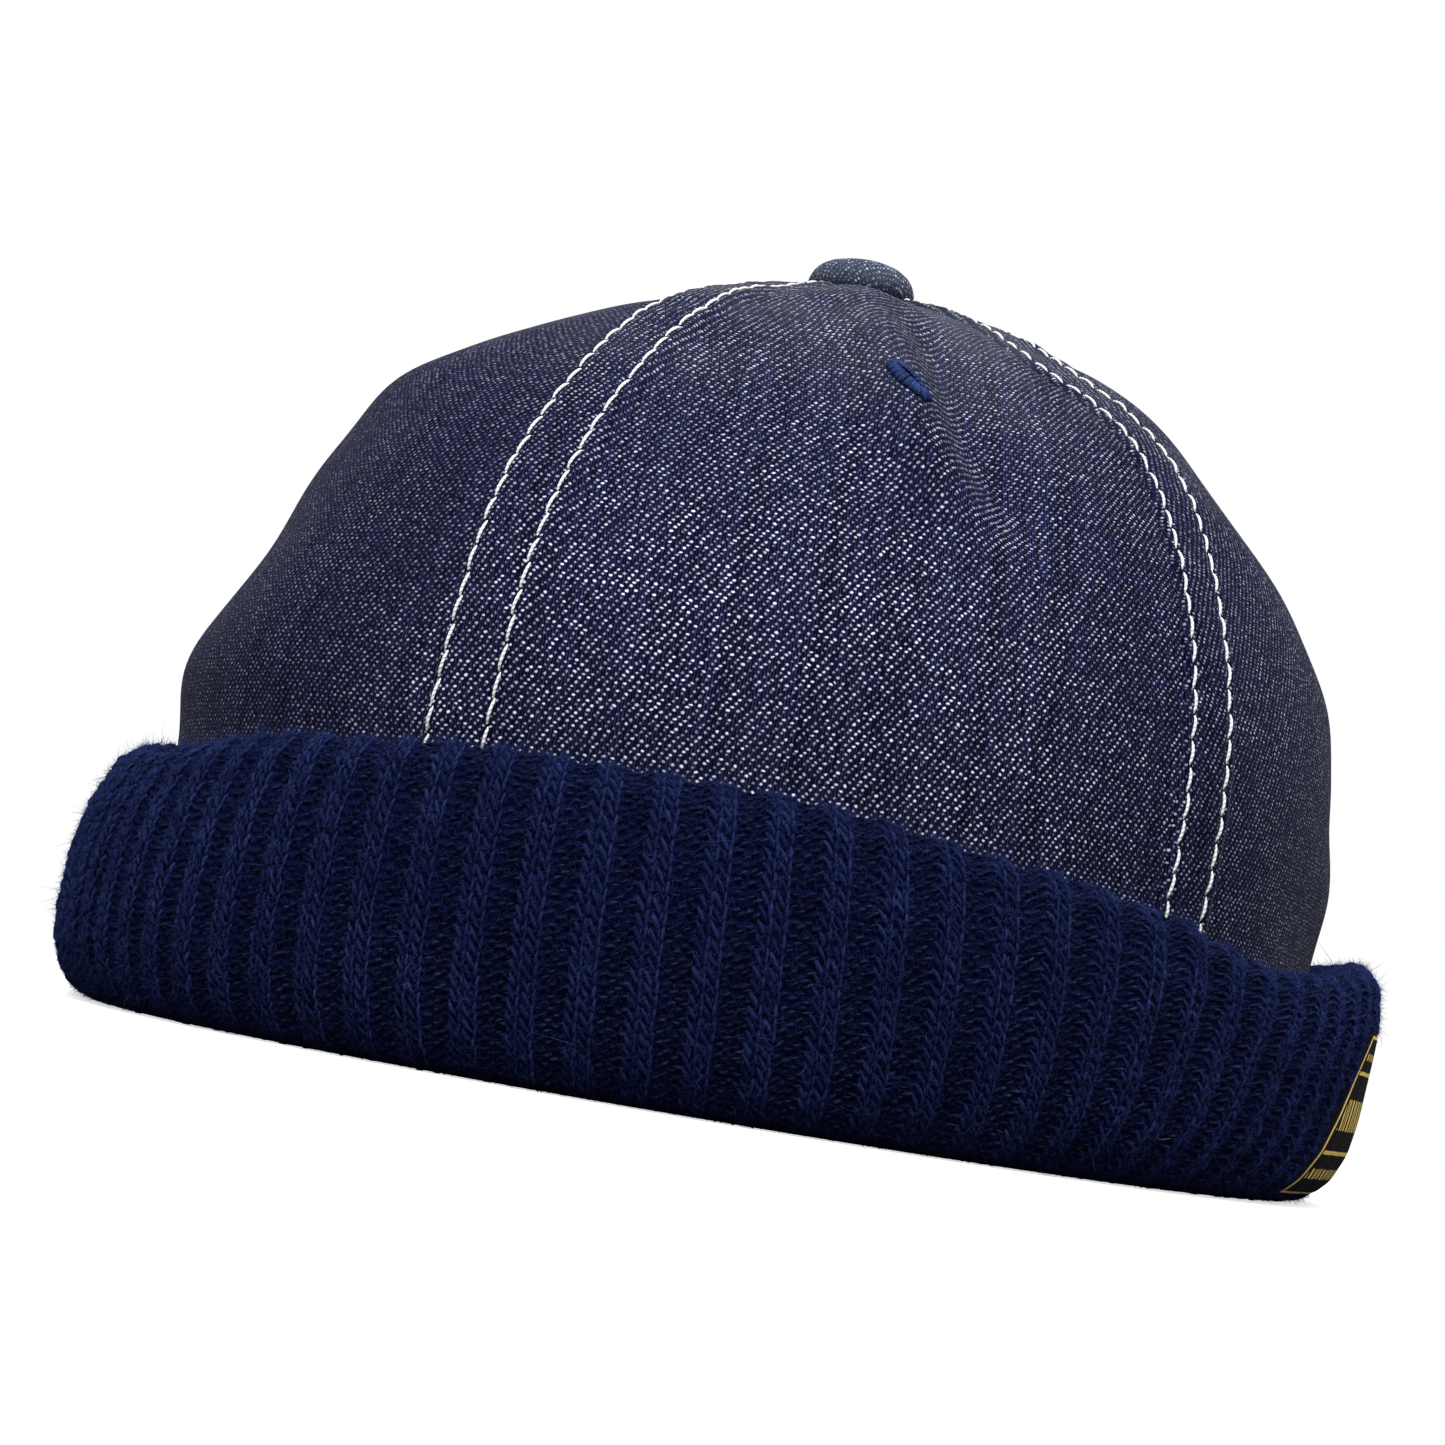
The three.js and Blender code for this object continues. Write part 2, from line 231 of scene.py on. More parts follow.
def needles(path: Array, across: Array, girth: Array, strand: Array) -> Surface:
    """Pointed needles along many paths at once.

    Each ring is a triangle about its path point, and the last path point is the needle's tip.

    Args:
        path: Path points by needle, the tip last.
        across: One direction for each needle, which its rings are turned from.
        girth: Radii of the rings.
        strand: One value for each needle, for its colour.

    Returns:
        The needles, with no cloth coordinates.
    """
    count, rings = len(path), len(girth)
    along = unit(np.gradient(path, axis=1))
    first = unit(np.cross(along, across[:, None]))
    second = np.cross(along, first)
    turn = 2 * np.pi * np.arange(3) / 3
    ring = np.cos(turn)[:, None] * first[:, :rings, None] + np.sin(turn)[:, None] * second[:, :rings, None]
    body = path[:, :rings, None] + girth[:, None, None] * ring
    points = np.concatenate([body.reshape(count, 3 * rings, 3), path[:, rings:]], axis=1)
    each = points.shape[1]
    here, beside = np.arange(3), np.array([1, 2, 0])
    quads = np.stack([here, beside, beside + 3, here + 3], -1)
    blocks = [quads + 3 * step for step in range(rings - 1)]
    last = 3 * (rings - 1)
    blocks.append(np.stack([last + here, last + beside, np.full(3, each - 1)], -1))
    blocks.append(np.array([[2, 1, 0]]))
    number = each * np.arange(count)[:, None, None]
    faces = [(number + block).reshape(-1, block.shape[1]) for block in blocks]
    return Surface(points.reshape(-1, 3), faces, np.zeros((each * count, 2)), np.repeat(strand, each))


def turned(radius: Array, level: Array, sides: int) -> Surface:
    """Closed solid of revolution: rings between two pole points, with fans of triangles at the poles.

    Args:
        radius: Radii along the profile, 0 at both ends.
        level: Levels along the profile, from the bottom pole to the top pole.
        sides: Points of one ring.

    Returns:
        The solid about the Z axis, with its plan as cloth coordinates.
    """
    turn = 2 * np.pi * np.arange(sides) / sides
    rings = np.stack(
        [
            radius[1:-1, None] * np.cos(turn),
            radius[1:-1, None] * np.sin(turn),
            np.repeat(level[1:-1, None], sides, axis=1),
        ],
        -1,
    )
    poles = np.array([[0, 0, level[0]], [0, 0, level[-1]]])
    points = np.concatenate([rings.reshape(-1, 3), poles])
    number = np.arange(rings.shape[0] * sides).reshape(-1, sides)
    beside = np.roll(number, -1, axis=1)
    skin = np.stack([number[:-1], beside[:-1], beside[1:], number[1:]], -1).reshape(-1, 4)
    bottom = np.stack([beside[0], number[0], np.full(sides, number.size)], -1)
    top = np.stack([number[-1], beside[-1], np.full(sides, number.size + 1)], -1)
    return Surface(points, [skin, bottom, top], points[:, :2].copy())


# Form of the crown


class Dent(NamedTuple):
    """Soft swell or hollow of the cloth: its place, how far out it pushes and how far it spreads."""

    angle: float
    height: float
    out: float
    wide: float
    tall: float


DENTS = (
    Dent(-52, 51, 1.9, 22, 8),
    Dent(-47, 73, -2.1, 20, 11),
    Dent(-43, 98, 1.9, 14, 6),
    Dent(-27, 118, -2.2, 16, 8),
    Dent(32, 110, 0.7, 7, 14),
    Dent(46, 102, -1.1, 8, 15),
    Dent(-10, 125, -0.9, 40, 4),
    Dent(1, 122, -1.5, 14, 5),
    Dent(23, 121.5, 1.3, 11, 4.5),
    Dent(62, 117, -2, 9, 8),
    Dent(-62, 126, -1.2, 32, 6),
    Dent(81, 117, 0.7, 12, 6),
    Dent(96, 104, -1.9, 12, 9),
    Dent(103, 76, 1.1, 14, 8),
    Dent(105, 58, -0.4, 14, 5),
    Dent(108, 47, 0.5, 16, 6),
    Dent(152, 88, -1.3, 18, 13),
    Dent(205, 66, 1.0, 16, 10),
    Dent(242, 92, -1.4, 17, 12),
    Dent(275, 62, 1.0, 15, 9),
)


class Crease(NamedTuple):
    """Soft fold line of the cloth between two places, with a swell on one side and a hollow on the other."""

    angle: float
    height: float
    end_angle: float
    end_height: float
    out: float
    wide: float


CREASES = (
    Crease(30.5, 119, 42.5, 84, 2.7, 5.8),
)


class SeamDrift(NamedTuple):
    """Millimetres that a seam stands round the crown from its angle, by height."""

    seam: float
    heights: tuple[float, ...]
    drifts: tuple[float, ...]


SEAM_DRIFTS = (
    SeamDrift(0, (42, 54, 66, 78, 90), (1.15, 0.85, 0.2, -0.5, -0.8)),
    SeamDrift(67.6, (80, 87, 94, 100, 106, 111, 115, 119, 124), (0, 0.6, 1, 0.9, 0, -1.4, -3, -4.8, -6)),
)


class PuckerWave(NamedTuple):
    """Wave of the puckers along a seam: its length, its shift from seam to seam and its share."""

    length: float
    shift: float
    share: float


PUCKER_WAVES = (
    PuckerWave(7.3, 1.7, 1.0),
    PuckerWave(11.9, 2.9, 0.7),
)


@dataclass(frozen=True)
class CrownForm:
    """Dome of the crown, its lean over the cuff and the unevenness of its cloth."""

    half_length: float = 104
    half_width: float = 88
    shoulder: float = 45.8
    rise: float = 84.2
    roundness: float = 2.11
    tip_share: float = 0.25
    edge_drop: float = 38.5
    top_climb: float = 88.2
    lean: Vector = (5.39, 2.39, 0)
    lean_over: float = 120
    lean_level: float = 20
    tip_shift: Vector = (-3.2, -1.42, 0)
    tip_from: float = 112
    tip_to: float = 133
    margin_radius: float = 22
    drift_end: float = 0.8
    seams: tuple[float, ...] = (0, 67.6, 123.8, 180, 236.2, 292.4)
    pucker: float = 0.1
    pucker_reach: float = 9
    pucker_radius: float = 40
    ripple: float = 0.22
    ripple_waves: int = 9
    ripple_turns: tuple[float, float] = (3, 12)
    ripple_lengths: tuple[float, float] = (28, 68)
    ripple_radii: tuple[float, float] = (6, 40)

    def seam_angles(self) -> Array:
        """Angles of the six seams, and of the first one again after a full turn."""
        return np.radians([*self.seams, self.seams[0] + 360])

    def station(self, climb: Array) -> tuple[Array, Array]:
        """Plan share and height of a row.

        Up to the shoulder the wall is upright. Over it the share is a power of the climb's cosine, and the
        height is the rise times the root of one less a power of the share. The tip runs up straight.

        Args:
            climb: Millimetres below the shoulder where negative, else degrees over the dome.

        Returns:
            Shares of the full plan, and heights.
        """
        over = np.radians(np.clip(climb, 0, 90))
        share = np.where(climb <= 0, 1.0, np.cos(over) ** (2 / self.roundness))
        held = np.maximum(share, self.tip_share)
        tip_rise = math.sqrt(1 - self.tip_share**self.roundness)
        slope = self.rise * self.roundness * self.tip_share ** (self.roundness - 1) / (2 * tip_rise)
        round_height = self.shoulder + self.rise * np.sqrt(np.maximum(1 - held**self.roundness, 0))
        height = np.where(climb <= 0, self.shoulder + climb, round_height + (held - share) * slope)
        return share, height

    def lean_at(self, height: Array) -> Array:
        """Sideways shift of the cap's middle: even with the height, less an eased shift of the tip."""
        even = ((height - self.lean_level) / self.lean_over)[..., None] * np.array(self.lean)
        return even + ramp(height, self.tip_from, self.tip_to)[..., None] * np.array(self.tip_shift)

    def dome(self, angle: Array, climb: Array) -> Array:
        """Smooth crown: an ellipse of the row's share, at the row's height, shifted by the lean."""
        angle, climb = np.broadcast_arrays(np.asarray(angle, float), np.asarray(climb, float))
        share, height = self.station(climb)
        across = self.half_width * share * np.sin(angle)
        ahead = -self.half_length * share * np.cos(angle)
        return np.stack([across, ahead, height], -1) + self.lean_at(height)

    def frame(self, angle: Array, climb: Array) -> tuple[Array, Array]:
        """Outward direction of the smooth crown and millimetres for a radian round it, by differences."""
        step = 1e-3
        round_step = self.dome(angle + step, climb) - self.dome(angle - step, climb)
        up_step = self.dome(angle, climb + step) - self.dome(angle, climb - step)
        rate = np.linalg.norm(round_step, axis=-1) / (2 * step)
        return unit(np.cross(round_step, up_step)), rate

    def run_table(self) -> tuple[Array, Array]:
        """Climbs and the length of cloth up to each of them from the lower edge, along one meridian."""
        climb = np.concatenate([np.linspace(-self.edge_drop, 0, 60), np.linspace(0.3, self.top_climb, 400)])
        line = self.dome(np.full(climb.shape, np.radians(45)), climb)
        step = np.linalg.norm(np.diff(line, axis=0), axis=-1)
        return climb, np.concatenate([[0], np.cumsum(step)])

    def climb_at(self, run: Array) -> Array:
        """Climb at a length of cloth from the lower edge."""
        climb, length = self.run_table()
        return np.interp(run, length, climb)

    def run_at(self, climb: Array) -> Array:
        """Length of cloth from the lower edge to a climb."""
        table, length = self.run_table()
        return np.interp(climb, table, length)

    def beside_seam(self, seam: Array, beside: Array, climb: Array) -> Array:
        """Angle of a point beside a seam that drifts on its way up; both shrink towards the tip."""
        _, rate = self.frame(seam, climb)
        _, height = self.station(climb)
        for drift in SEAM_DRIFTS:
            own = np.cos(seam - math.radians(drift.seam)) > 0.999
            moved = np.interp(height, drift.heights, drift.drifts)
            beside = beside + own * moved * (1 - self.drift_end * ramp(height, self.tip_from, self.tip_to))
        return seam + beside * np.minimum(1, rate / self.margin_radius) / rate

    def creased(self, angle: Array, climb: Array) -> Array:
        """Swell and hollow of the creases.

        A crease is a bell across its line times the distance from it, so one side swells and the other
        sinks, and both fade at the line's ends.

        Args:
            angle: Angles round the crown.
            climb: Rows up the crown.

        Returns:
            Millimetres outwards.
        """
        _, height = self.station(climb)
        _, rate = self.frame(angle, climb)
        total = np.zeros(angle.shape)
        for crease in CREASES:
            share = np.clip((height - crease.height) / (crease.end_height - crease.height), -0.5, 1.5)
            turn = angle - np.radians(crease.angle + share * (crease.end_angle - crease.angle))
            aside = np.arctan2(np.sin(turn), np.cos(turn)) * rate / crease.wide
            fade = np.exp(-((2 * share - 1) ** 4))
            total -= crease.out * aside * np.exp(0.5 - aside**2 / 2) * fade
        return total

    def unevenness(self, angle: Array, climb: Array) -> Array:
        """How far the cloth stands out of the smooth dome.

        Dents are bells of angle and height, and creases are added to them. Seam puckers are waves along
        each seam that fade away from it, and the ripple is a sum of slow waves over the whole crown.

        Args:
            angle: Angles round the crown.
            climb: Rows up the crown.

        Returns:
            Millimetres outwards.
        """
        angle, climb = np.broadcast_arrays(np.asarray(angle, float), np.asarray(climb, float))
        _, height = self.station(climb)
        _, rate = self.frame(angle, climb)
        run = self.run_at(climb)
        total = np.zeros(angle.shape)
        for dent in DENTS:
            turn = angle - math.radians(dent.angle)
            aside = np.arctan2(np.sin(turn), np.cos(turn)) / math.radians(dent.wide)
            total += dent.out * np.exp(-(aside**2) - ((height - dent.height) / dent.tall) ** 2)
        total += self.creased(angle, climb)
        for number, seam in enumerate(self.seam_angles()[:-1]):
            turn = angle - seam
            beside = np.arctan2(np.sin(turn), np.cos(turn)) * rate
            wave = sum(
                part.share * np.sin(run * 2 * np.pi / part.length + part.shift * number)
                for part in PUCKER_WAVES
            )
            bell = np.exp(-((beside / self.pucker_reach) ** 2))
            total += self.pucker * wave * bell * np.minimum(1, rate / self.pucker_radius)
        waves = np.random.default_rng(SEED).uniform(0, 1, (self.ripple_waves, 3))
        depth = self.ripple / math.sqrt(self.ripple_waves) * ramp(rate, *self.ripple_radii)
        for turns, pace, phase in waves:
            count = np.round(np.interp(turns, (0, 1), self.ripple_turns))
            length = np.interp(pace, (0, 1), self.ripple_lengths)
            total += depth * np.sin(count * angle + 2 * np.pi * (run / length + phase))
        return total

    def point(self, angle: Array, climb: Array, offset: Array) -> Array:
        """Crown with its unevenness, moved out by an offset."""
        outward, _ = self.frame(angle, climb)
        push = self.unevenness(angle, climb) + offset
        return self.dome(angle, climb) + outward * push[..., None]


@dataclass(frozen=True)
class Lap:
    """Raised strip where one gore lies over the next and two rows of topstitching hold them together."""

    edge: float = -5.45
    rise_by: float = -4.75
    flat_to: float = 5.0
    down_by: float = 8.0
    lift: float = 1.2
    edge_lift: float = 0.2
    row: float = 4.25
    sink: float = 0.34
    sink_reach: float = 0.75

    def lift_at(self, beside: Array) -> Array:
        """Height over the crown: eased up from the folded edge, down past the flat, sunk along both rows."""
        plate = self.edge_lift + (self.lift - self.edge_lift) * ramp(beside, self.edge, self.rise_by)
        plate = plate * (1 - ramp(beside, self.flat_to, self.down_by))
        rows = np.exp(-(((np.abs(beside) - self.row) / self.sink_reach) ** 2))
        return plate - self.sink * rows


# Finishes


@dataclass
class NodeDesk:
    """Short ways to add nodes to one node tree."""

    tree: bpy.types.NodeTree

    def add(self, kind: str, **settings: object) -> bpy.types.Node:
        """New node of a kind, with its properties set."""
        node = self.tree.nodes.new(kind)
        for name, value in settings.items():
            setattr(node, name, value)
        return node

    def feed(self, socket: Socket, value: "Socket | float | tuple") -> None:
        """Link a socket, or set a constant on it."""
        if isinstance(value, Socket):
            self.tree.links.new(value, socket)
        else:
            socket.default_value = value

    def math(self, operation: str, *values: "Socket | float") -> Socket:
        """Result of one arithmetic step."""
        node = self.add("ShaderNodeMath", operation=operation)
        for socket, value in zip(node.inputs, values):
            self.feed(socket, value)
        return node.outputs[0]

    def away(self, value: Socket, middle: float) -> Socket:
        """Distance of a value from a middle."""
        return self.math("ABSOLUTE", self.math("SUBTRACT", value, middle))

    def ease(self, value: Socket, low: float, high: float, start: float = 0, end: float = 1) -> Socket:
        """Value eased from start at low to end at high."""
        node = self.add("ShaderNodeMapRange", interpolation_type="SMOOTHSTEP", clamp=True)
        for name, number in (("From Min", low), ("From Max", high), ("To Min", start), ("To Max", end)):
            node.inputs[name].default_value = number
        self.feed(node.inputs["Value"], value)
        return node.outputs["Result"]

    def mix(self, share: "Socket | float", low: "Socket | tuple", high: "Socket | tuple") -> Socket:
        """Colour between two others."""
        node = self.add("ShaderNodeMix", data_type="RGBA")
        self.feed(node.inputs[0], share)
        self.feed(node.inputs[6], low)
        self.feed(node.inputs[7], high)
        return node.outputs[2]

    def vector(self, x: "Socket | float", y: "Socket | float", z: "Socket | float" = 0.0) -> Socket:
        """Vector of three values."""
        node = self.add("ShaderNodeCombineXYZ")
        for socket, value in zip(node.inputs, (x, y, z)):
            self.feed(socket, value)
        return node.outputs[0]

    def axes(self, vector: Socket) -> tuple[Socket, Socket, Socket]:
        """Three values of a vector."""
        node = self.add("ShaderNodeSeparateXYZ")
        self.feed(node.inputs[0], vector)
        return node.outputs[0], node.outputs[1], node.outputs[2]

    def noise(self, vector: Socket, scale: float, detail: float = 2.0) -> Socket:
        """Soft noise from 0 to 1."""
        node = self.add("ShaderNodeTexNoise")
        self.feed(node.inputs["Vector"], vector)
        node.inputs["Scale"].default_value = scale
        node.inputs["Detail"].default_value = detail
        return node.outputs["Fac"]

    def speckle(self, vector: Socket) -> tuple[Socket, Socket]:
        """One random value, and a random vector, for each whole-numbered cell."""
        node = self.add("ShaderNodeTexWhiteNoise", noise_dimensions="2D")
        self.feed(node.inputs["Vector"], vector)
        return node.outputs["Value"], node.outputs["Color"]

    def cloth(self) -> Socket:
        """Cloth coordinates of the piece, in millimetres."""
        return self.add("ShaderNodeUVMap", uv_map=CLOTH_MAP).outputs[0]

    def place(self) -> Socket:
        """Object coordinates, in metres."""
        return self.add("ShaderNodeTexCoord").outputs["Object"]

    def strand(self) -> Socket:
        """The strand value stored on the points."""
        return self.add("ShaderNodeAttribute", attribute_name=STRAND).outputs["Fac"]

    def group(self, tree: bpy.types.NodeTree, **values: "Socket | float | tuple") -> bpy.types.Node:
        """A shared effect, with its named inputs fed."""
        node = self.add("ShaderNodeGroup", node_tree=tree)
        for name, value in values.items():
            self.feed(node.inputs[name.replace("_", " ").title()], value)
        return node


def effect(
    name: str, inputs: dict[str, str], outputs: dict[str, str]
) -> tuple[NodeDesk, bpy.types.Node, bpy.types.Node]:
    """Empty shader node group with named sockets.

    Args:
        name: Name of the effect.
        inputs: Kinds of the input sockets by name.
        outputs: Kinds of the output sockets by name.

    Returns:
        A desk on the group, its input node and its output node.
    """
    tree = bpy.data.node_groups.new(name, "ShaderNodeTree")
    for label, kind in inputs.items():
        tree.interface.new_socket(name=label, in_out="INPUT", socket_type=kind)
    for label, kind in outputs.items():
        tree.interface.new_socket(name=label, in_out="OUTPUT", socket_type=kind)
    desk = NodeDesk(tree)
    return desk, desk.add("NodeGroupInput"), desk.add("NodeGroupOutput")


VECTOR, VALUE, COLOUR = "NodeSocketVector", "NodeSocketFloat", "NodeSocketColor"


@dataclass
class Effects:
    """Shared surface effects, each built once as a node group."""

    warp_pitch: float = 0.40
    weft_pitch: float = 0.57
    twill: bpy.types.NodeTree = field(init=False)
    fibre: bpy.types.NodeTree = field(init=False)

    def __post_init__(self) -> None:
        """Build the groups."""
        self.twill = self.build_twill()
        self.fibre = self.build_fibre()

    def build_twill(self) -> bpy.types.NodeTree:
        """Two-and-one right-hand twill.

        Weft dots stand three warp yarns apart and step one yarn to the right with each row up. A dot is an
        oval bell about its place with its own random brightness. Warp yarns are rounded streaks between the
        dots, each with its own random tone and slubs, painted lighter along their middles and darker towards
        their edges as the shade of their round.

        Returns:
            The group: cloth millimetres and three yarn colours in, colour and relief out.
        """
        inputs = {"Cloth": VECTOR, "Ground": COLOUR, "Warp": COLOUR, "Weft": COLOUR, "Cover": VALUE}
        desk, start, end = effect("twill_weave", inputs, {"Colour": COLOUR, "Relief": VALUE})
        cloth = start.outputs["Cloth"]
        across, up, _ = desk.axes(cloth)
        drift = desk.noise(cloth, 0.9, 2.0)
        across = desk.math("ADD", across, desk.ease(drift, 0.2, 0.8, -0.1, 0.1))
        up = desk.math("ADD", up, desk.ease(desk.noise(cloth, 0.55, 2.0), 0.2, 0.8, -0.16, 0.16))
        warps = desk.math("DIVIDE", across, self.warp_pitch)
        wefts = desk.math("DIVIDE", up, self.weft_pitch)
        row = desk.math("FLOOR", wefts)
        beside_row = desk.math("SUBTRACT", desk.math("SUBTRACT", wefts, row), 0.5)
        thirds = desk.math("DIVIDE", desk.math("SUBTRACT", warps, row), 3.0)
        place = desk.math("FLOOR", thirds)
        off_place = desk.math("SUBTRACT", thirds, place)
        beside_dot = desk.math("MULTIPLY", desk.math("SUBTRACT", off_place, 0.5), 3.0)
        luck, lucks = desk.speckle(desk.vector(place, row))
        luck_x, luck_y, _ = desk.axes(lucks)
        aside = desk.math("ADD", beside_dot, desk.ease(luck_x, 0, 1, -0.28, 0.28))
        above = desk.math("ADD", beside_row, desk.ease(luck_y, 0, 1, -0.14, 0.14))
        half_wide = desk.math("MULTIPLY_ADD", luck, 0.22, 0.44)
        aside = desk.math("DIVIDE", aside, half_wide)
        above = desk.math("DIVIDE", above, 0.33)
        squares = desk.math("ADD", desk.math("POWER", aside, 2.0), desk.math("POWER", above, 2.0))
        reach = desk.math("SQRT", squares)
        dot = desk.ease(reach, 1.25, 0.35)
        patch = desk.ease(desk.noise(cloth, 0.11, 3.0), 0.3, 0.7, 0.55, 1.1)
        bright = desk.math("MULTIPLY", desk.math("POWER", luck, 2.0), patch)
        bright = desk.math("MULTIPLY_ADD", bright, 1.15, 0.22)
        shown = desk.math("MULTIPLY", dot, desk.math("MULTIPLY", bright, start.outputs["Cover"]))
        yarn = desk.math("FLOOR", warps)
        beside_yarn = desk.math("SUBTRACT", desk.math("SUBTRACT", warps, yarn), 0.5)
        rounded = desk.math("SUBTRACT", 1.0, desk.math("POWER", desk.math("MULTIPLY", beside_yarn, 2.0), 2.0))
        shade, _ = desk.speckle(desk.vector(yarn, 7.0))
        yarn_place = desk.vector(desk.math("MULTIPLY", yarn, 3.7), desk.math("MULTIPLY", up, 0.9))
        slub = desk.noise(yarn_place, 1.0, 3.0)
        # Painted shade of each warp yarn's round: lighter along its middle, darker towards its edges
        lit = desk.math("MULTIPLY", rounded, desk.math("ADD", desk.math("MULTIPLY", shade, 0.25), slub))
        streak = desk.ease(lit, 0.15, 1.25)
        ground = desk.mix(streak, start.outputs["Ground"], start.outputs["Warp"])
        desk.feed(end.inputs["Colour"], desk.mix(shown, ground, start.outputs["Weft"]))
        relief = desk.math("ADD", desk.math("MULTIPLY", rounded, 0.45), desk.math("MULTIPLY", dot, 0.4))
        desk.feed(end.inputs["Relief"], relief)
        return desk.tree

    def build_fibre(self) -> bpy.types.NodeTree:
        """Spun fibres: fine noise drawn out along the strand, between a dark and a light colour.

        Returns:
            The group: a place, two colours and the strand's own value in, colour and relief out.
        """
        inputs = {"Place": VECTOR, "Dark": COLOUR, "Light": COLOUR, "Strand": VALUE}
        desk, start, end = effect("spun_fibre", inputs, {"Colour": COLOUR, "Relief": VALUE})
        fine = desk.noise(start.outputs["Place"], 2600.0, 3.0)
        broad = desk.noise(start.outputs["Place"], 90.0, 2.0)
        share = desk.ease(fine, 0.32, 0.7)
        share = desk.math("MULTIPLY_ADD", share, 0.5, 0.25)
        share = desk.math("MULTIPLY", share, desk.math("MULTIPLY_ADD", start.outputs["Strand"], 1.2, 0.2))
        share = desk.math("MULTIPLY", share, desk.ease(broad, 0.25, 0.75, 0.55, 1.15))
        desk.feed(end.inputs["Colour"], desk.mix(share, start.outputs["Dark"], start.outputs["Light"]))
        desk.feed(end.inputs["Relief"], fine)
        return desk.tree


BareMaterial = tuple[NodeDesk, bpy.types.Node, bpy.types.Material]


@dataclass(frozen=True)
class Sheen:
    """Soft light that loose fibres give at grazing angles."""

    weight: float
    roughness: float
    tint: Tint


@dataclass(frozen=True)
class Relief:
    """Height that a pattern gives a surface: the bump's strength, and its depth in millimetres."""

    strength: float
    depth: float

    def lead(self, desk: NodeDesk, shader: bpy.types.Node, height: Socket) -> None:
        """Lead a height through a bump node to the shader."""
        node = desk.add("ShaderNodeBump")
        node.inputs["Strength"].default_value = self.strength
        node.inputs["Distance"].default_value = self.depth * MM
        desk.feed(node.inputs["Height"], height)
        desk.feed(shader.inputs["Normal"], node.outputs["Normal"])


@dataclass(frozen=True, kw_only=True)
class SurfaceFinish:
    """What every finish has: roughness, shine and the sheen of its loose fibres."""

    roughness: float
    shine: float = 0.1
    sheen: Sheen | None = None

    def start(self, name: str) -> BareMaterial:
        """New material with a bare shader, its constant values set on the shader itself.

        Args:
            name: Name of the material.

        Returns:
            A desk on the material, its shader and the material.
        """
        material = bpy.data.materials.new(name)
        material.use_nodes = True
        shader = material.node_tree.nodes["Principled BSDF"]
        shader.inputs["Roughness"].default_value = self.roughness
        shader.inputs["Specular IOR Level"].default_value = self.shine
        if self.sheen is not None:
            shader.inputs["Sheen Weight"].default_value = self.sheen.weight
            shader.inputs["Sheen Roughness"].default_value = self.sheen.roughness
            shader.inputs["Sheen Tint"].default_value = self.sheen.tint
        return NodeDesk(material.node_tree), shader, material

    def make(self, name: str, effects: Effects) -> bpy.types.Material:
        """The finish's material.

        Args:
            name: Name of the material.
            effects: Shared surface effects; not used.

        Returns:
            The material, with nothing but its constant values.
        """
        return self.start(name)[2]


@dataclass(frozen=True)
class PaintedSheen:
    """Painted sheen: grey patches painted between two heights of the cap, given in metres, for the haze that
    loose fibres give at grazing angles.
    """

    colour: Tint
    low: float
    high: float
    patch_scale: float
    least: float
    most: float

    def over(self, desk: NodeDesk, colour: Socket) -> Socket:
        """Colour with the painted sheen over it."""
        place = desk.place()
        _, _, height = desk.axes(place)
        patches = desk.ease(desk.noise(place, self.patch_scale), 0.3, 0.7, self.least, self.most)
        share = desk.math("MULTIPLY", desk.ease(height, self.low, self.high), patches)
        return desk.mix(share, colour, self.colour)


@dataclass(frozen=True, kw_only=True)
class TwillFinish(SurfaceFinish):
    """Denim: warp yarns and weft dots over the dark between them.

    Where no cover is given, the piece's own strand value says how much of the weft shows; on the gores that
    value is painted light.
    """

    ground: Tint
    warp: Tint
    weft: Tint
    relief: Relief
    cover: float | None = None
    painted_sheen: PaintedSheen | None = None

    def make(self, name: str, effects: Effects) -> bpy.types.Material:
        """Twill in three colours, with its painted sheen.

        Args:
            name: Name of the material.
            effects: Shared surface effects.

        Returns:
            The material.
        """
        desk, shader, material = self.start(name)
        weave = desk.group(
            effects.twill,
            cloth=desk.cloth(),
            ground=self.ground,
            warp=self.warp,
            weft=self.weft,
            cover=desk.strand() if self.cover is None else self.cover,
        )
        colour = weave.outputs["Colour"]
        if self.painted_sheen is not None:
            colour = self.painted_sheen.over(desk, colour)
        desk.feed(shader.inputs["Base Color"], colour)
        self.relief.lead(desk, shader, weave.outputs["Relief"])
        return material


@dataclass(frozen=True, kw_only=True)
class SewingThread(SurfaceFinish):
    """Twisted thread: its slanted plies are clean on top and shaded between them."""

    shaded: Tint
    clean: Tint
    worn: Tint
    worn_share: float
    twist: float
    relief: Relief

    def make(self, name: str, effects: Effects) -> bpy.types.Material:
        """Plies as a sine of the place along and round the thread.

        Args:
            name: Name of the material.
            effects: Shared surface effects; not used.

        Returns:
            The material.
        """
        desk, shader, material = self.start(name)
        along, around, _ = desk.axes(desk.cloth())
        turn = desk.math("MULTIPLY", around, 2 * math.pi)
        ply = desk.ease(desk.math("SINE", desk.math("MULTIPLY_ADD", along, self.twist, turn)), -1.0, 0.4)
        worn = desk.math("MULTIPLY", desk.strand(), self.worn_share)
        on_top = desk.mix(worn, self.clean, self.worn)
        desk.feed(shader.inputs["Base Color"], desk.mix(ply, self.shaded, on_top))
        self.relief.lead(desk, shader, ply)
        return material


@dataclass(frozen=True, kw_only=True)
class YarnFinish(SurfaceFinish):
    """Spun yarn between a dark and a light colour."""

    dark: Tint
    light: Tint
    relief: Relief

    def make(self, name: str, effects: Effects) -> bpy.types.Material:
        """Spun fibres, lighter on the strands with a higher value.

        Args:
            name: Name of the material.
            effects: Shared surface effects.

        Returns:
            The material.
        """
        desk, shader, material = self.start(name)
        spun = desk.group(
            effects.fibre, place=desk.place(), dark=self.dark, light=self.light, strand=desk.strand()
        )
        desk.feed(shader.inputs["Base Color"], spun.outputs["Colour"])
        self.relief.lead(desk, shader, spun.outputs["Relief"])
        return material


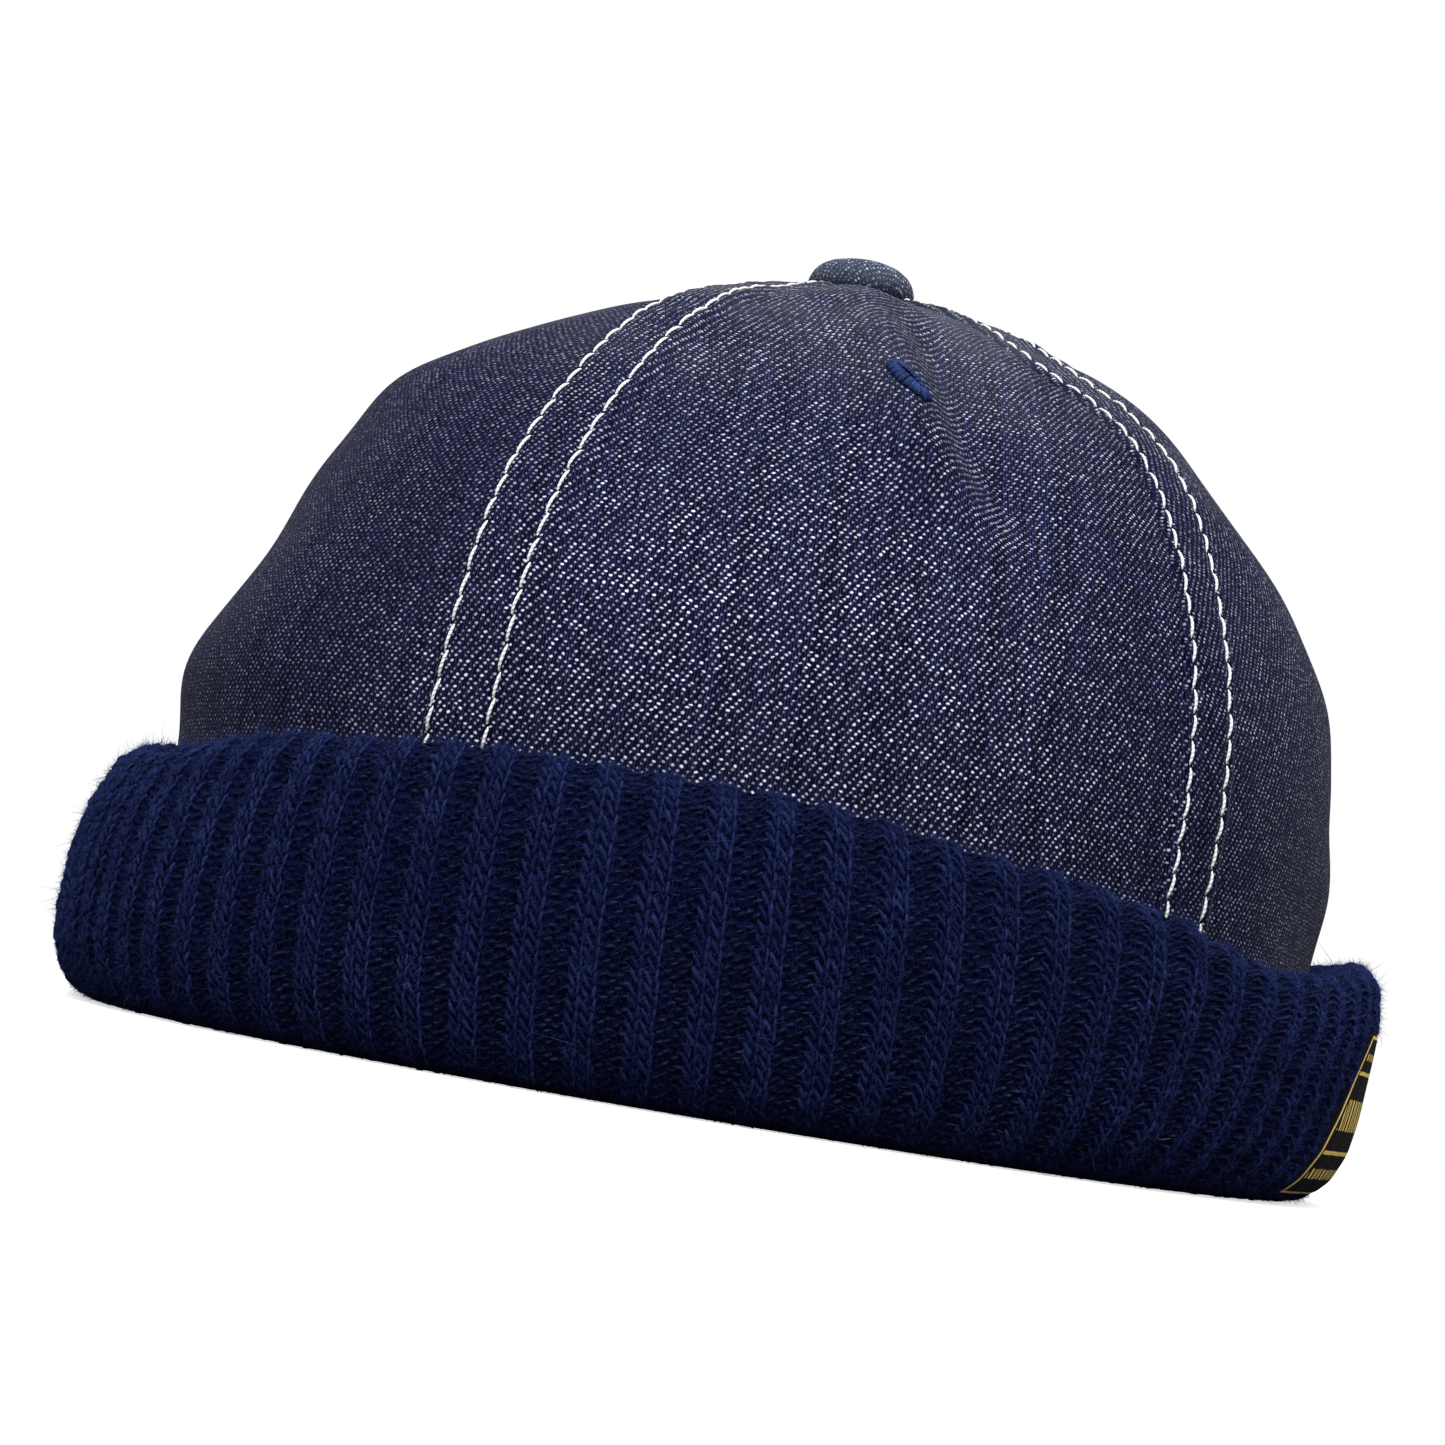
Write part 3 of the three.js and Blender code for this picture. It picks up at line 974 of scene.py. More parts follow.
@dataclass(frozen=True, kw_only=True)
class ShadedKnitGround(YarnFinish):
    """Depth of the knit between its loops: rows of small loops, painted darker than the yarn as shade in the
    depth.
    """

    wale: float
    course: float
    slope: float

    def make(self, name: str, effects: Effects) -> bpy.types.Material:
        """Loops as a saw along the courses that rises to both sides of each wale: the loops are painted
        lighter on their crests and darker between them, as shade.

        Args:
            name: Name of the material.
            effects: Shared surface effects.

        Returns:
            The material.
        """
        desk, shader, material = self.start(name)
        across, up, _ = desk.axes(desk.cloth())
        aside = desk.away(desk.math("FRACT", desk.math("DIVIDE", across, self.wale)), 0.5)
        lifted = desk.math("MULTIPLY_ADD", aside, self.slope, desk.math("DIVIDE", up, self.course))
        crest = desk.ease(desk.away(desk.math("FRACT", lifted), 0.5), 0.05, 0.45)
        spun = desk.group(effects.fibre, place=desk.place(), dark=self.dark, light=self.light, strand=crest)
        desk.feed(shader.inputs["Base Color"], spun.outputs["Colour"])
        self.relief.lead(desk, shader, crest)
        return material


@dataclass(frozen=True, kw_only=True)
class FibreFinish(SurfaceFinish):
    """Loose fibres, each of its own shade between a dark and a light colour."""

    dark: Tint
    light: Tint
    reach: float = 1.0

    def make(self, name: str, effects: Effects) -> bpy.types.Material:
        """One shade for each fibre, from its strand value.

        Args:
            name: Name of the material.
            effects: Shared surface effects; not used.

        Returns:
            The material.
        """
        desk, shader, material = self.start(name)
        share = desk.math("MULTIPLY", desk.strand(), self.reach)
        desk.feed(shader.inputs["Base Color"], desk.mix(share, self.dark, self.light))
        return material


class LabelBand(NamedTuple):
    """Row of gold bars on the label: the height of its middle, and millimetres off its half height."""

    level: float
    loss: float


LABEL_SIZE = (52.0, 30.0)
WALE = 1.8


@dataclass(frozen=True, kw_only=True)
class LabelFinish(SurfaceFinish):
    """Black woven label with a thin gold border, two gold rules and plain gold bars between them."""

    black: tuple[Tint, Tint]
    gold: tuple[Tint, Tint]
    relief: Relief
    border: float = 1.0
    rules: tuple[float, float] = (9.2, 22.4)
    bands: tuple[LabelBand, ...] = (LabelBand(15.4, 0.0), LabelBand(5.4, 1.6), LabelBand(25.4, 1.9))
    bar_lean: float = 0.5
    bar_pitch: float = 1.9
    pick: float = 0.32
    end: float = 0.3

    def pattern(self, desk: NodeDesk, across: Socket, up: Socket) -> Socket:
        """Share of gold: the border and the rules, and the slanted bars within their rows.

        Args:
            desk: Desk of the material.
            across: Millimetres from the label's left side.
            up: Millimetres from its lower side.

        Returns:
            1 on gold and 0 on black.
        """
        beside = desk.math("MINIMUM", across, desk.math("SUBTRACT", LABEL_SIZE[0], across))
        over = desk.math("MINIMUM", up, desk.math("SUBTRACT", LABEL_SIZE[1], up))
        inward = desk.math("MINIMUM", beside, over)
        border = desk.ease(desk.away(inward, self.border), 0.36, 0.24)
        rule = desk.math("MINIMUM", *(desk.away(up, level) for level in self.rules))
        rules = desk.math("MULTIPLY", desk.ease(rule, 0.4, 0.28), desk.ease(inward, 1.9, 2.0))
        leaning = desk.math("MULTIPLY_ADD", up, self.bar_lean, across)
        bar = desk.math("FRACT", desk.math("DIVIDE", leaning, self.bar_pitch))
        bars = desk.ease(desk.away(bar, 0.5), 0.27, 0.23)
        rows = [desk.math("ADD", desk.away(up, band.level), band.loss) for band in self.bands]
        nearest = rows[0]
        for row in rows[1:]:
            nearest = desk.math("MINIMUM", nearest, row)
        within = desk.math("MULTIPLY", desk.ease(nearest, 2.6, 2.45), desk.ease(inward, 2.2, 2.4))
        return desk.math("MAXIMUM", desk.math("MAXIMUM", border, rules), desk.math("MULTIPLY", bars, within))

    def make(self, name: str, effects: Effects) -> bpy.types.Material:
        """Plain weave of black and gold yarns; cloth millimetres run from the label's lower left corner.

        Args:
            name: Name of the material.
            effects: Shared surface effects; not used.

        Returns:
            The material.
        """
        desk, shader, material = self.start(name)
        across, up, _ = desk.axes(desk.cloth())
        gold = self.pattern(desk, across, up)
        picks = desk.math("SINE", desk.math("MULTIPLY", up, 2 * math.pi / self.pick))
        ends = desk.math("SINE", desk.math("MULTIPLY", across, 2 * math.pi / self.end))
        weave = desk.math("MULTIPLY", picks, ends)
        black = desk.mix(desk.ease(weave, -1, 1), *self.black)
        yellow = desk.mix(desk.ease(picks, -1, 1), *self.gold)
        desk.feed(shader.inputs["Base Color"], desk.mix(gold, black, yellow))
        self.relief.lead(desk, shader, desk.math("ADD", desk.math("MULTIPLY", weave, 0.3), gold))
        return material


@dataclass(frozen=True, kw_only=True)
class FloorFinish(SurfaceFinish):
    """Plain pale floor with the faintest mottling, which throws little light back on the cap."""

    pale: tuple[Tint, Tint]
    thrown: Tint
    glow: float

    def make(self, name: str, effects: Effects) -> bpy.types.Material:
        """Pale where it is looked at, darker for the light that it throws on.

        Args:
            name: Name of the material.
            effects: Shared surface effects; not used.

        Returns:
            The material.
        """
        desk, shader, material = self.start(name)
        pale = desk.mix(desk.ease(desk.noise(desk.place(), 3.0, 2.0), 0.3, 0.7), *self.pale)
        seen = desk.add("ShaderNodeLightPath").outputs["Is Camera Ray"]
        desk.feed(shader.inputs["Base Color"], desk.mix(seen, self.thrown, pale))
        desk.feed(shader.inputs["Emission Color"], desk.mix(seen, linear(0, 0, 0), linear(255, 255, 255)))
        shader.inputs["Emission Strength"].default_value = self.glow
        return material


class Finish(Enum):
    """Named finishes of the cap and its floor."""

    DENIM = "denim_face"
    LIT_BUTTON_DENIM = "lit_button_denim"
    DENIM_BACK = "denim_back"
    WHITE_THREAD = "white_thread"
    NAVY_THREAD = "navy_thread"
    KNIT = "knit_yarn"
    SHADED_KNIT_GROUND = "shaded_knit_ground"
    PURL = "purl_yarn"
    FUZZ = "wool_fuzz"
    LINT = "pale_lint"
    LABEL = "label_weave"
    FLOOR = "pale_floor"


FINISHES: dict[Finish, SurfaceFinish] = {
    # Dark indigo warp over irregular white weft dots, with a grey sheen painted towards the button
    Finish.DENIM: TwillFinish(
        roughness=0.9,
        shine=0.04,
        sheen=Sheen(0.08, 0.18, linear(185, 190, 205)),
        ground=linear(0, 1, 18),
        warp=linear(50, 53, 98),
        weft=linear(230, 234, 255),
        relief=Relief(0.6, 0.16),
        painted_sheen=PaintedSheen(linear(112, 116, 120), 0.09, 0.13, 70.0, 0.05, 0.24),
    ),
    # Button cover, a paler, hazier copy of the denim: painted light from above, and painted sheen
    Finish.LIT_BUTTON_DENIM: TwillFinish(
        roughness=0.95,
        shine=0.04,
        sheen=Sheen(0.12, 0.3, linear(190, 196, 206)),
        ground=linear(40, 47, 64),
        warp=linear(98, 106, 126),
        weft=linear(206, 212, 220),
        relief=Relief(0.5, 0.14),
    ),
    # Mostly white weft with thin indigo showing through
    Finish.DENIM_BACK: TwillFinish(
        roughness=0.95,
        sheen=Sheen(0.2, 0.5, linear(220, 222, 228)),
        ground=linear(150, 156, 172),
        warp=linear(196, 199, 206),
        weft=linear(58, 62, 96),
        relief=Relief(0.5, 0.16),
        cover=0.8,
    ),
    Finish.WHITE_THREAD: SewingThread(
        roughness=0.6,
        sheen=Sheen(0.15, 0.4, linear(255, 255, 255)),
        shaded=linear(204, 205, 210),
        clean=linear(255, 255, 252),
        worn=linear(236, 236, 236),
        worn_share=0.3,
        twist=9.0,
        relief=Relief(0.5, 0.12),
    ),
    # Glossy embroidery thread
    Finish.NAVY_THREAD: YarnFinish(
        roughness=0.5,
        sheen=Sheen(0.1, 0.4, linear(120, 140, 200)),
        dark=linear(16, 28, 62),
        light=linear(48, 70, 126),
        relief=Relief(0.3, 0.1),
    ),
    # Soft navy wool
    Finish.KNIT: YarnFinish(
        roughness=0.95,
        sheen=Sheen(0.25, 0.5, linear(60, 84, 170)),
        dark=linear(0, 5, 36),
        light=linear(40, 52, 98),
        relief=Relief(0.5, 0.15),
    ),
    # Nearly black navy: the yarn painted darker as shade in the depth of the knit
    Finish.SHADED_KNIT_GROUND: ShadedKnitGround(
        roughness=1.0,
        sheen=Sheen(0.05, 0.5, linear(50, 66, 130)),
        dark=linear(0, 3, 34),
        light=linear(12, 20, 62),
        relief=Relief(0.8, 0.4),
        wale=WALE,
        course=1.15,
        slope=0.9,
    ),
    # Sunken purl loops, painted greyer than the ribs as the reflection of the white surroundings on their
    # bumps
    Finish.PURL: YarnFinish(
        roughness=0.9,
        sheen=Sheen(0.05, 0.5, linear(60, 70, 120)),
        dark=linear(0, 4, 34),
        light=linear(44, 52, 86),
        relief=Relief(0.5, 0.15),
    ),
    # A little lighter than the yarn: partly the loose fibres' own paleness, partly painted sheen for the haze
    # at grazing angles
    Finish.FUZZ: FibreFinish(
        roughness=0.9,
        sheen=Sheen(0.22, 0.5, linear(70, 90, 170)),
        dark=linear(6, 13, 50),
        light=linear(50, 66, 128),
        reach=0.9,
    ),
    Finish.LINT: FibreFinish(roughness=0.9, dark=linear(96, 104, 128), light=linear(190, 190, 205)),
    Finish.LABEL: LabelFinish(
        roughness=0.8,
        black=(linear(3, 3, 5), linear(16, 16, 20)),
        gold=(linear(255, 196, 70), linear(255, 240, 160)),
        relief=Relief(0.6, 0.12),
    ),
    Finish.FLOOR: FloorFinish(
        roughness=0.9,
        pale=(linear(246, 246, 246), linear(250, 250, 250)),
        thrown=linear(110, 110, 114),
        glow=0.7,
    ),
}


@dataclass
class FinishRoom:
    """Makes each finish once and hands it out by name."""

    effects: Effects = field(default_factory=Effects)
    made: dict[Finish, bpy.types.Material] = field(default_factory=dict)

    def get(self, finish: Finish) -> bpy.types.Material:
        """The material of a finish, made when it is first asked for."""
        if finish not in self.made:
            self.made[finish] = FINISHES[finish].make(finish.value, self.effects)
        return self.made[finish]


# Sub-assemblies


@dataclass
class Crown:
    """Six denim gores, each with a raised lap on its first seam and a margin under the next gore's lap."""

    form: CrownForm
    lap: Lap
    finishes: FinishRoom
    cloth: float = 0.8
    lap_columns: int = 46
    middle_columns: int = 44
    margin_columns: int = 14
    lap_reach: float = 11.0
    lap_crowding: float = 1.15
    margin_from: float = -7.0
    margin_to: float = 4.0
    margin_step: tuple[float, float] = (-5.2, -4.2)
    margin_sink: float = -0.1
    rows: int = 150
    weave_pull: float = 0.95
    # Painted light on the weft dots: the lit direction, the facings between which the dots brighten towards
    # it, and each gore's share where it faces aside, least on the shaded sixth gore
    weft_light_from: Vector = (0.42, -0.902, -0.1)
    weft_light_facing: tuple[float, float] = (0.7, 0.97)
    shaded_weft_share: tuple[float, ...] = (0.55, 0.5, 0.55, 0.55, 0.5, 0.3)
    pieces: list[bpy.types.Object] = field(default_factory=list)

    def columns(self, first: float, following: float, climb: Array) -> tuple[Array, Array]:
        """Angles and lap heights of one gore's points.

        Args:
            first: Angle of the gore's own seam.
            following: Angle of the next gore's seam.
            climb: Rows, one to a line.

        Returns:
            Angles and heights over the crown, by row and column.
        """
        dense = np.linspace(0, 1, self.lap_columns)
        beside = self.lap.edge + (self.lap_reach - self.lap.edge) * dense**self.lap_crowding
        lap = self.form.beside_seam(np.full(1, first), beside[None], climb[:, None])
        margin_beside = np.linspace(self.margin_from, self.margin_to, self.margin_columns)
        margin = self.form.beside_seam(np.full(1, following), margin_beside[None], climb[:, None])
        share = np.linspace(0, 1, self.middle_columns + 2)[1:-1]
        middle = lap[:, -1:] + (margin[:, :1] - lap[:, -1:]) * share
        angle = np.concatenate([lap, middle, margin], axis=1)
        lift = np.zeros(angle.shape)
        lift[:, : self.lap_columns] = self.lap.lift_at(beside)
        lift[:, -self.margin_columns :] = self.margin_sink * ramp(margin_beside, *self.margin_step)
        return angle, lift

    def gore(self, number: int) -> tuple[Surface, tuple[float, float], float]:
        """One gore as a closed wall.

        Args:
            number: Place of the gore, from 0.

        Returns:
            The wall, its flat width and length, and its flat area, in millimetres.
        """
        seams = self.form.seam_angles()
        run = np.linspace(0, self.form.run_table()[1][-1], self.rows)
        climb = self.form.climb_at(run)
        angle, lift = self.columns(seams[number], seams[number + 1], climb)
        rows = np.repeat(climb[:, None], angle.shape[1], axis=1)
        outer = self.form.point(angle, rows, lift)
        inner = self.form.point(angle, rows, lift - self.cloth)
        step = np.linalg.norm(np.diff(outer, axis=1), axis=-1)
        across = np.concatenate([np.zeros((self.rows, 1)), np.cumsum(step, axis=1)], axis=1)
        width = float(across[:, -1].max())
        across = across - across[:, -1:] * 0.5
        cloth = np.stack([across, run[:, None] - self.weave_pull * self.form.creased(angle, rows)], -1)
        girth = step.sum(axis=1)
        area = float(np.sum((girth[1:] + girth[:-1]) / 2 * np.diff(run)))
        wall = closed_wall(outer, inner, cloth)
        # Strand value of the gores: the painted light of their weft dots
        wall.strand = np.tile(self.cover(number, angle, rows).ravel(), 2)
        return wall, (width, float(run[-1])), area

    def cover(self, number: int, angle: Array, climb: Array) -> Array:
        """Brightness of the white weft dots, as painted light: full where the cloth faces the lit direction,
        front and back, and each gore's own share aside.
        """
        outward, _ = self.form.frame(angle, climb)
        facing = ramp(np.abs(outward @ np.array(self.weft_light_from)), *self.weft_light_facing)
        return self.shaded_weft_share[number] + (1 - self.shaded_weft_share[number]) * facing

    def build(self) -> list[bpy.types.Object]:
        """Make and dress the gores.

        Returns:
            The six gores.
        """
        finishes = [self.finishes.get(Finish.DENIM), self.finishes.get(Finish.DENIM_BACK)]
        for number in range(len(self.form.seams)):
            surface, flat, area = self.gore(number)
            piece = surface.to_object(f"gore_{number + 1}", finishes, 55)
            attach(piece, BODY)
            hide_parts(f"crown_panel_{number + 1}")
            self.pieces.append(piece)
            log.info("%s: flat %.0f x %.0f mm, area %.0f mm2", piece.name, *flat, area)
        return self.pieces


@dataclass
class Topstitching:
    """Two rows of white stitches along each seam."""

    form: CrownForm
    lap: Lap
    finishes: FinishRoom
    pitch: float = 3.7
    thread: float = 0.25
    from_climb: float = -14.0
    to_climbs: tuple[float, ...] = (85.5, 80.5, 85.5, 85.5, 85.5, 85.5)
    slant: float = 0.42
    reach: float = 0.94
    sunk: float = -0.14
    arch: float = 0.42
    fullness: float = 0.6
    end_share: float = 0.62
    flatness: float = 0.92
    rings: int = 7
    sides: int = 6

    def row(self, number: int, side: int) -> Surface:
        """Stitches of one row.

        A stitch runs along the row for most of the pitch, crosses from one side of the line to the other,
        and its height is an arch that sinks into the cloth at both ends.

        Args:
            number: Place of the seam, from 0.
            side: -1 or 1, the side of the seam.

        Returns:
            The stitches.
        """
        luck = np.random.default_rng(SEED + 10 * number + side)
        seam = self.form.seam_angles()[number]
        low, high = self.form.run_at(np.array([self.from_climb, self.to_climbs[number]]))
        starts = np.arange(low + 0.5 * (side > 0) * self.pitch, high, self.pitch)
        share = np.linspace(0, 1, self.rings)
        starts = starts + luck.normal(0, 0.1, starts.shape)
        reach = self.pitch * (self.reach + luck.normal(0, 0.02, (len(starts), 1)))
        run = starts[:, None] + reach * share
        lean = self.slant * (1 + luck.normal(0, 0.25, (len(starts), 1)))
        beside = side * self.lap.row + lean * (share - 0.5) + luck.normal(0, 0.06, (len(starts), 1))
        climb = self.form.climb_at(run)
        angle = self.form.beside_seam(np.full(1, seam), beside, climb)
        swell = np.sin(np.pi * share) ** self.fullness
        path = self.form.point(angle, climb, self.lap.lift_at(beside) + self.sunk + self.arch * swell)
        outward, _ = self.form.frame(angle, climb)
        half = self.thread * (self.end_share + (1 - self.end_share) * swell)
        return tubes(path, outward, half, self.flatness * half, self.sides, luck.uniform(0, 1, len(starts)))

    def build(self) -> bpy.types.Object:
        """Make and dress all the stitches.

        Returns:
            The piece.
        """
        rows = [self.row(number, side) for number in range(len(self.form.seams)) for side in (-1, 1)]
        piece = Surface.joined(rows).to_object("topstitching", [self.finishes.get(Finish.WHITE_THREAD)], 80)
        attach(piece, BODY)
        log.info("%s: %d rows", piece.name, len(rows))
        return piece


@dataclass
class CoveredButton:
    """Denim covered button over the point where the gores meet."""

    form: CrownForm
    finishes: FinishRoom
    profile: tuple[tuple[float, float], ...] = (
        (0, -3.0), (3.0, -3.0), (3.4, -2.4), (3.5, 0.4), (5.6, 0.0), (7.4, 0.1), (8.4, 0.6), (8.8, 1.6),
        (8.75, 2.4), (8.35, 3.5), (7.6, 4.5), (6.4, 5.3), (4.8, 5.85), (3.0, 6.15), (1.4, 6.28), (0, 6.32),
    )
    sides: int = 96
    rings: int = 56
    gathers: int = 17
    gather_depth: float = 0.012
    gather_level: float = 0.9
    gather_reach: float = 1.1
    gather_radii: tuple[float, float] = (5, 8.4)
    lumps: float = 0.12
    button_weft_cover: float = 0.8

    def build(self) -> bpy.types.Object:
        """Make and dress the button.

        The profile is eased through its points and turned, and the cloth gathered under the rim waves the
        radius a number of times round it.

        Returns:
            The piece.
        """
        corners = np.array(self.profile)
        length = np.concatenate([[0], np.cumsum(np.linalg.norm(np.diff(corners, axis=0), axis=1))])
        fine = np.linspace(0, length[-1], self.rings)
        radius = np.interp(fine, length, corners[:, 0])
        level = np.interp(fine, length, corners[:, 1])
        surface = turned(radius, level, self.sides)
        turn = np.arctan2(surface.points[:, 1], surface.points[:, 0])
        rim = np.exp(-(((surface.points[:, 2] - self.gather_level) / self.gather_reach) ** 2))
        rim *= ramp(np.hypot(*surface.points[:, :2].T), *self.gather_radii)
        wave = np.sin(self.gathers * turn) + np.sin(2 * turn + 0.6)
        surface.points[:, :2] *= 1 + self.gather_depth * (rim * wave)[:, None]
        unevenness = np.sin(0.35 * surface.points[:, 0] + 0.8) * np.cos(0.3 * surface.points[:, 1])
        surface.points[:, 2] += self.lumps * unevenness
        reach = np.concatenate([np.repeat(fine[1:-1], self.sides), fine[[0, -1]]])
        spread = (fine[-1] - reach) / np.maximum(np.hypot(*surface.points[:, :2].T), 1e-6)
        surface.cloth = surface.points[:, :2] * np.clip(spread, 0, 3)[:, None]
        tip = self.form.station(np.array(90.0))[1]
        surface.points += np.array([0, 0, float(tip)]) + self.form.lean_at(tip)
        surface.strand = np.full(len(surface.points), self.button_weft_cover)
        # The button wears the paler copy of the denim, painted lit from above
        piece = surface.to_object("button_cover", [self.finishes.get(Finish.LIT_BUTTON_DENIM)])
        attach(piece, BODY)
        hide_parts("top_button")
        log.info("%s: %d sides", piece.name, self.sides)
        return piece


@dataclass
class Eyelets:
    """Oval thread eyelets: satin strands from a closed slit to the rim, over a low pad."""

    form: CrownForm
    finishes: FinishRoom
    across: float = 3.1
    along: float = 8.4
    turn: float = 46.0
    climb: float = 40.9
    places: tuple[tuple[int, float], ...] = ((1, 0.48), (3, 0.5), (5, 0.5))
    strands: int = 46
    strand_rings: int = 6
    strand_sides: int = 4
    strand_lift: float = 0.3
    strand_arch: float = 0.5
    strand_fall: float = 0.25
    strand_widths: tuple[float, float] = (0.2, 0.37)
    strand_height: float = 0.24
    pad_sides: int = 30
    slit_across: float = 0.5
    slit_along: float = 5.6
    pad: tuple[tuple[float, float], ...] = (
        (0, -0.3), (0.93, -0.3), (0.93, 0.15), (0.7, 0.3), (0.4, 0.36), (0, 0.38),
    )

    def laid(self, angle: float, across: Array, along: Array, over: Array) -> tuple[Array, Array]:
        """Points of the turned oval laid on the crown.

        Args:
            angle: Angle of the eyelet's middle.
            across: Millimetres across the oval.
            along: Millimetres along the oval.
            over: Millimetres over the cloth.

        Returns:
            Points, and outward directions.
        """
        turn = math.radians(self.turn)
        sideways = across * math.cos(turn) - along * math.sin(turn)
        upwards = across * math.sin(turn) + along * math.cos(turn)
        middle = np.array(self.climb)
        _, rate = self.form.frame(np.array(angle), middle)
        run = self.form.run_at(middle) + upwards
        climb = self.form.climb_at(run)
        place = angle + sideways / rate
        return self.form.point(place, climb, over), self.form.frame(place, climb)[0]

    def work(self, gore: int, across_gore: float) -> Surface:
        """Pad and satin strands of one eyelet.

        Args:
            gore: Number of the eyelet's gore.
            across_gore: Share of the gore's width where the eyelet stands.

        Returns:
            The work.
        """
        luck = np.random.default_rng(SEED + 100 + gore)
        first, following = self.form.seam_angles()[gore - 1 : gore + 1]
        angle = first + across_gore * (following - first)
        pad = turned(*np.array(self.pad).T, self.pad_sides)
        shape = pad.points.copy()
        aside, along = shape[:, 0] * self.across / 2, shape[:, 1] * self.along / 2
        pad.points, _ = self.laid(angle, aside, along, shape[:, 2])
        # The pad takes the thread's darkest colour: painted shade under the satin strands and in the slit
        pad.strand = np.zeros(len(pad.points))
        turn = 2 * np.pi * (np.arange(self.strands) + luck.normal(0, 0.12, self.strands)) / self.strands
        share = np.linspace(0, 1, self.strand_rings)
        tip = 1 + luck.normal(0, 0.035, self.strands)
        wide = self.slit_across + (self.across * tip[:, None] - self.slit_across) * share
        long = self.slit_along + (self.along * tip[:, None] - self.slit_along) * share
        arch = np.sin(np.pi * (0.18 + 0.82 * share)) ** 0.8
        over = self.strand_lift + self.strand_arch * arch - self.strand_fall * share
        over = over + luck.normal(0, 0.04, (self.strands, 1))
        aside, along = wide / 2 * np.cos(turn)[:, None], long / 2 * np.sin(turn)[:, None]
        path, outward = self.laid(angle, aside, along, over)
        width = np.interp(share, (0, 1), self.strand_widths)
        light = luck.uniform(0.1, 1, self.strands)
        satin = tubes(path, outward, width, self.strand_height, self.strand_sides, light)
        return Surface.joined([pad, satin])

    def build(self) -> list[bpy.types.Object]:
        """Make and dress the eyelets.

        Returns:
            The pieces.
        """
        pieces = []
        for gore, across_gore in self.places:
            surface = self.work(gore, across_gore)
            piece = surface.to_object(f"eyelet_work_{gore}", [self.finishes.get(Finish.NAVY_THREAD)])
            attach(piece, BODY)
            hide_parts(f"eyelet_{gore}")
            pieces.append(piece)
        log.info("eyelets: %d", len(pieces))
        return pieces


class SectionPoint(NamedTuple):
    """Corner of the cuff's section: out from the wall, up, and its shares of the rib and the flare."""

    out: float
    up: float
    rib: float
    flare: float


CUFF_SECTION = (
    SectionPoint(-3, 0, 0, 0),
    SectionPoint(3.5, 0, 0, 0),
    SectionPoint(7, 1.2, 0.3, 0),
    SectionPoint(9.6, 4, 0.8, 0),
    SectionPoint(11.4, 8.5, 1, 0),
    SectionPoint(12.1, 14, 1, 0),
    SectionPoint(12.2, 22, 1, 0.1),
    SectionPoint(11.7, 28.5, 1, 0.45),
    SectionPoint(9.6, 35.8, 0.9, 0.85),
    SectionPoint(6.2, 38.8, 0.5, 1),
    SectionPoint(3.2, 37, 0, 0),
    SectionPoint(2.2, 32, 0, 0),
    SectionPoint(2.2, 7, 0, 0),
    SectionPoint(-2, 7, 0, 0),
    SectionPoint(-2, 17, 0, 0),
    SectionPoint(-3.8, 18, 0.2, 0),
    SectionPoint(-4.5, 5, 0.4, 0),
)


class RimPoint(NamedTuple):
    """Height and flare of the cuff's top edge at an angle."""

    angle: float
    top: float
    flare: float


CUFF_RIM = (
    RimPoint(-140, 39, 0),
    RimPoint(-70, 38.6, -1.2),
    RimPoint(-30, 38.4, -1.2),
    RimPoint(-10, 41.2, 0),
    RimPoint(6, 42.6, 0),
    RimPoint(28, 42.4, 0),
    RimPoint(50, 39.4, 0),
    RimPoint(62, 37.4, 0.2),
    RimPoint(69, 34.9, 0.5),
    RimPoint(76, 33.2, 0.8),
    RimPoint(84, 34, 1.4),
    RimPoint(98, 37.2, 2.2),
    RimPoint(114, 39.8, 2.4),
    RimPoint(150, 39.4, 0.8),
)


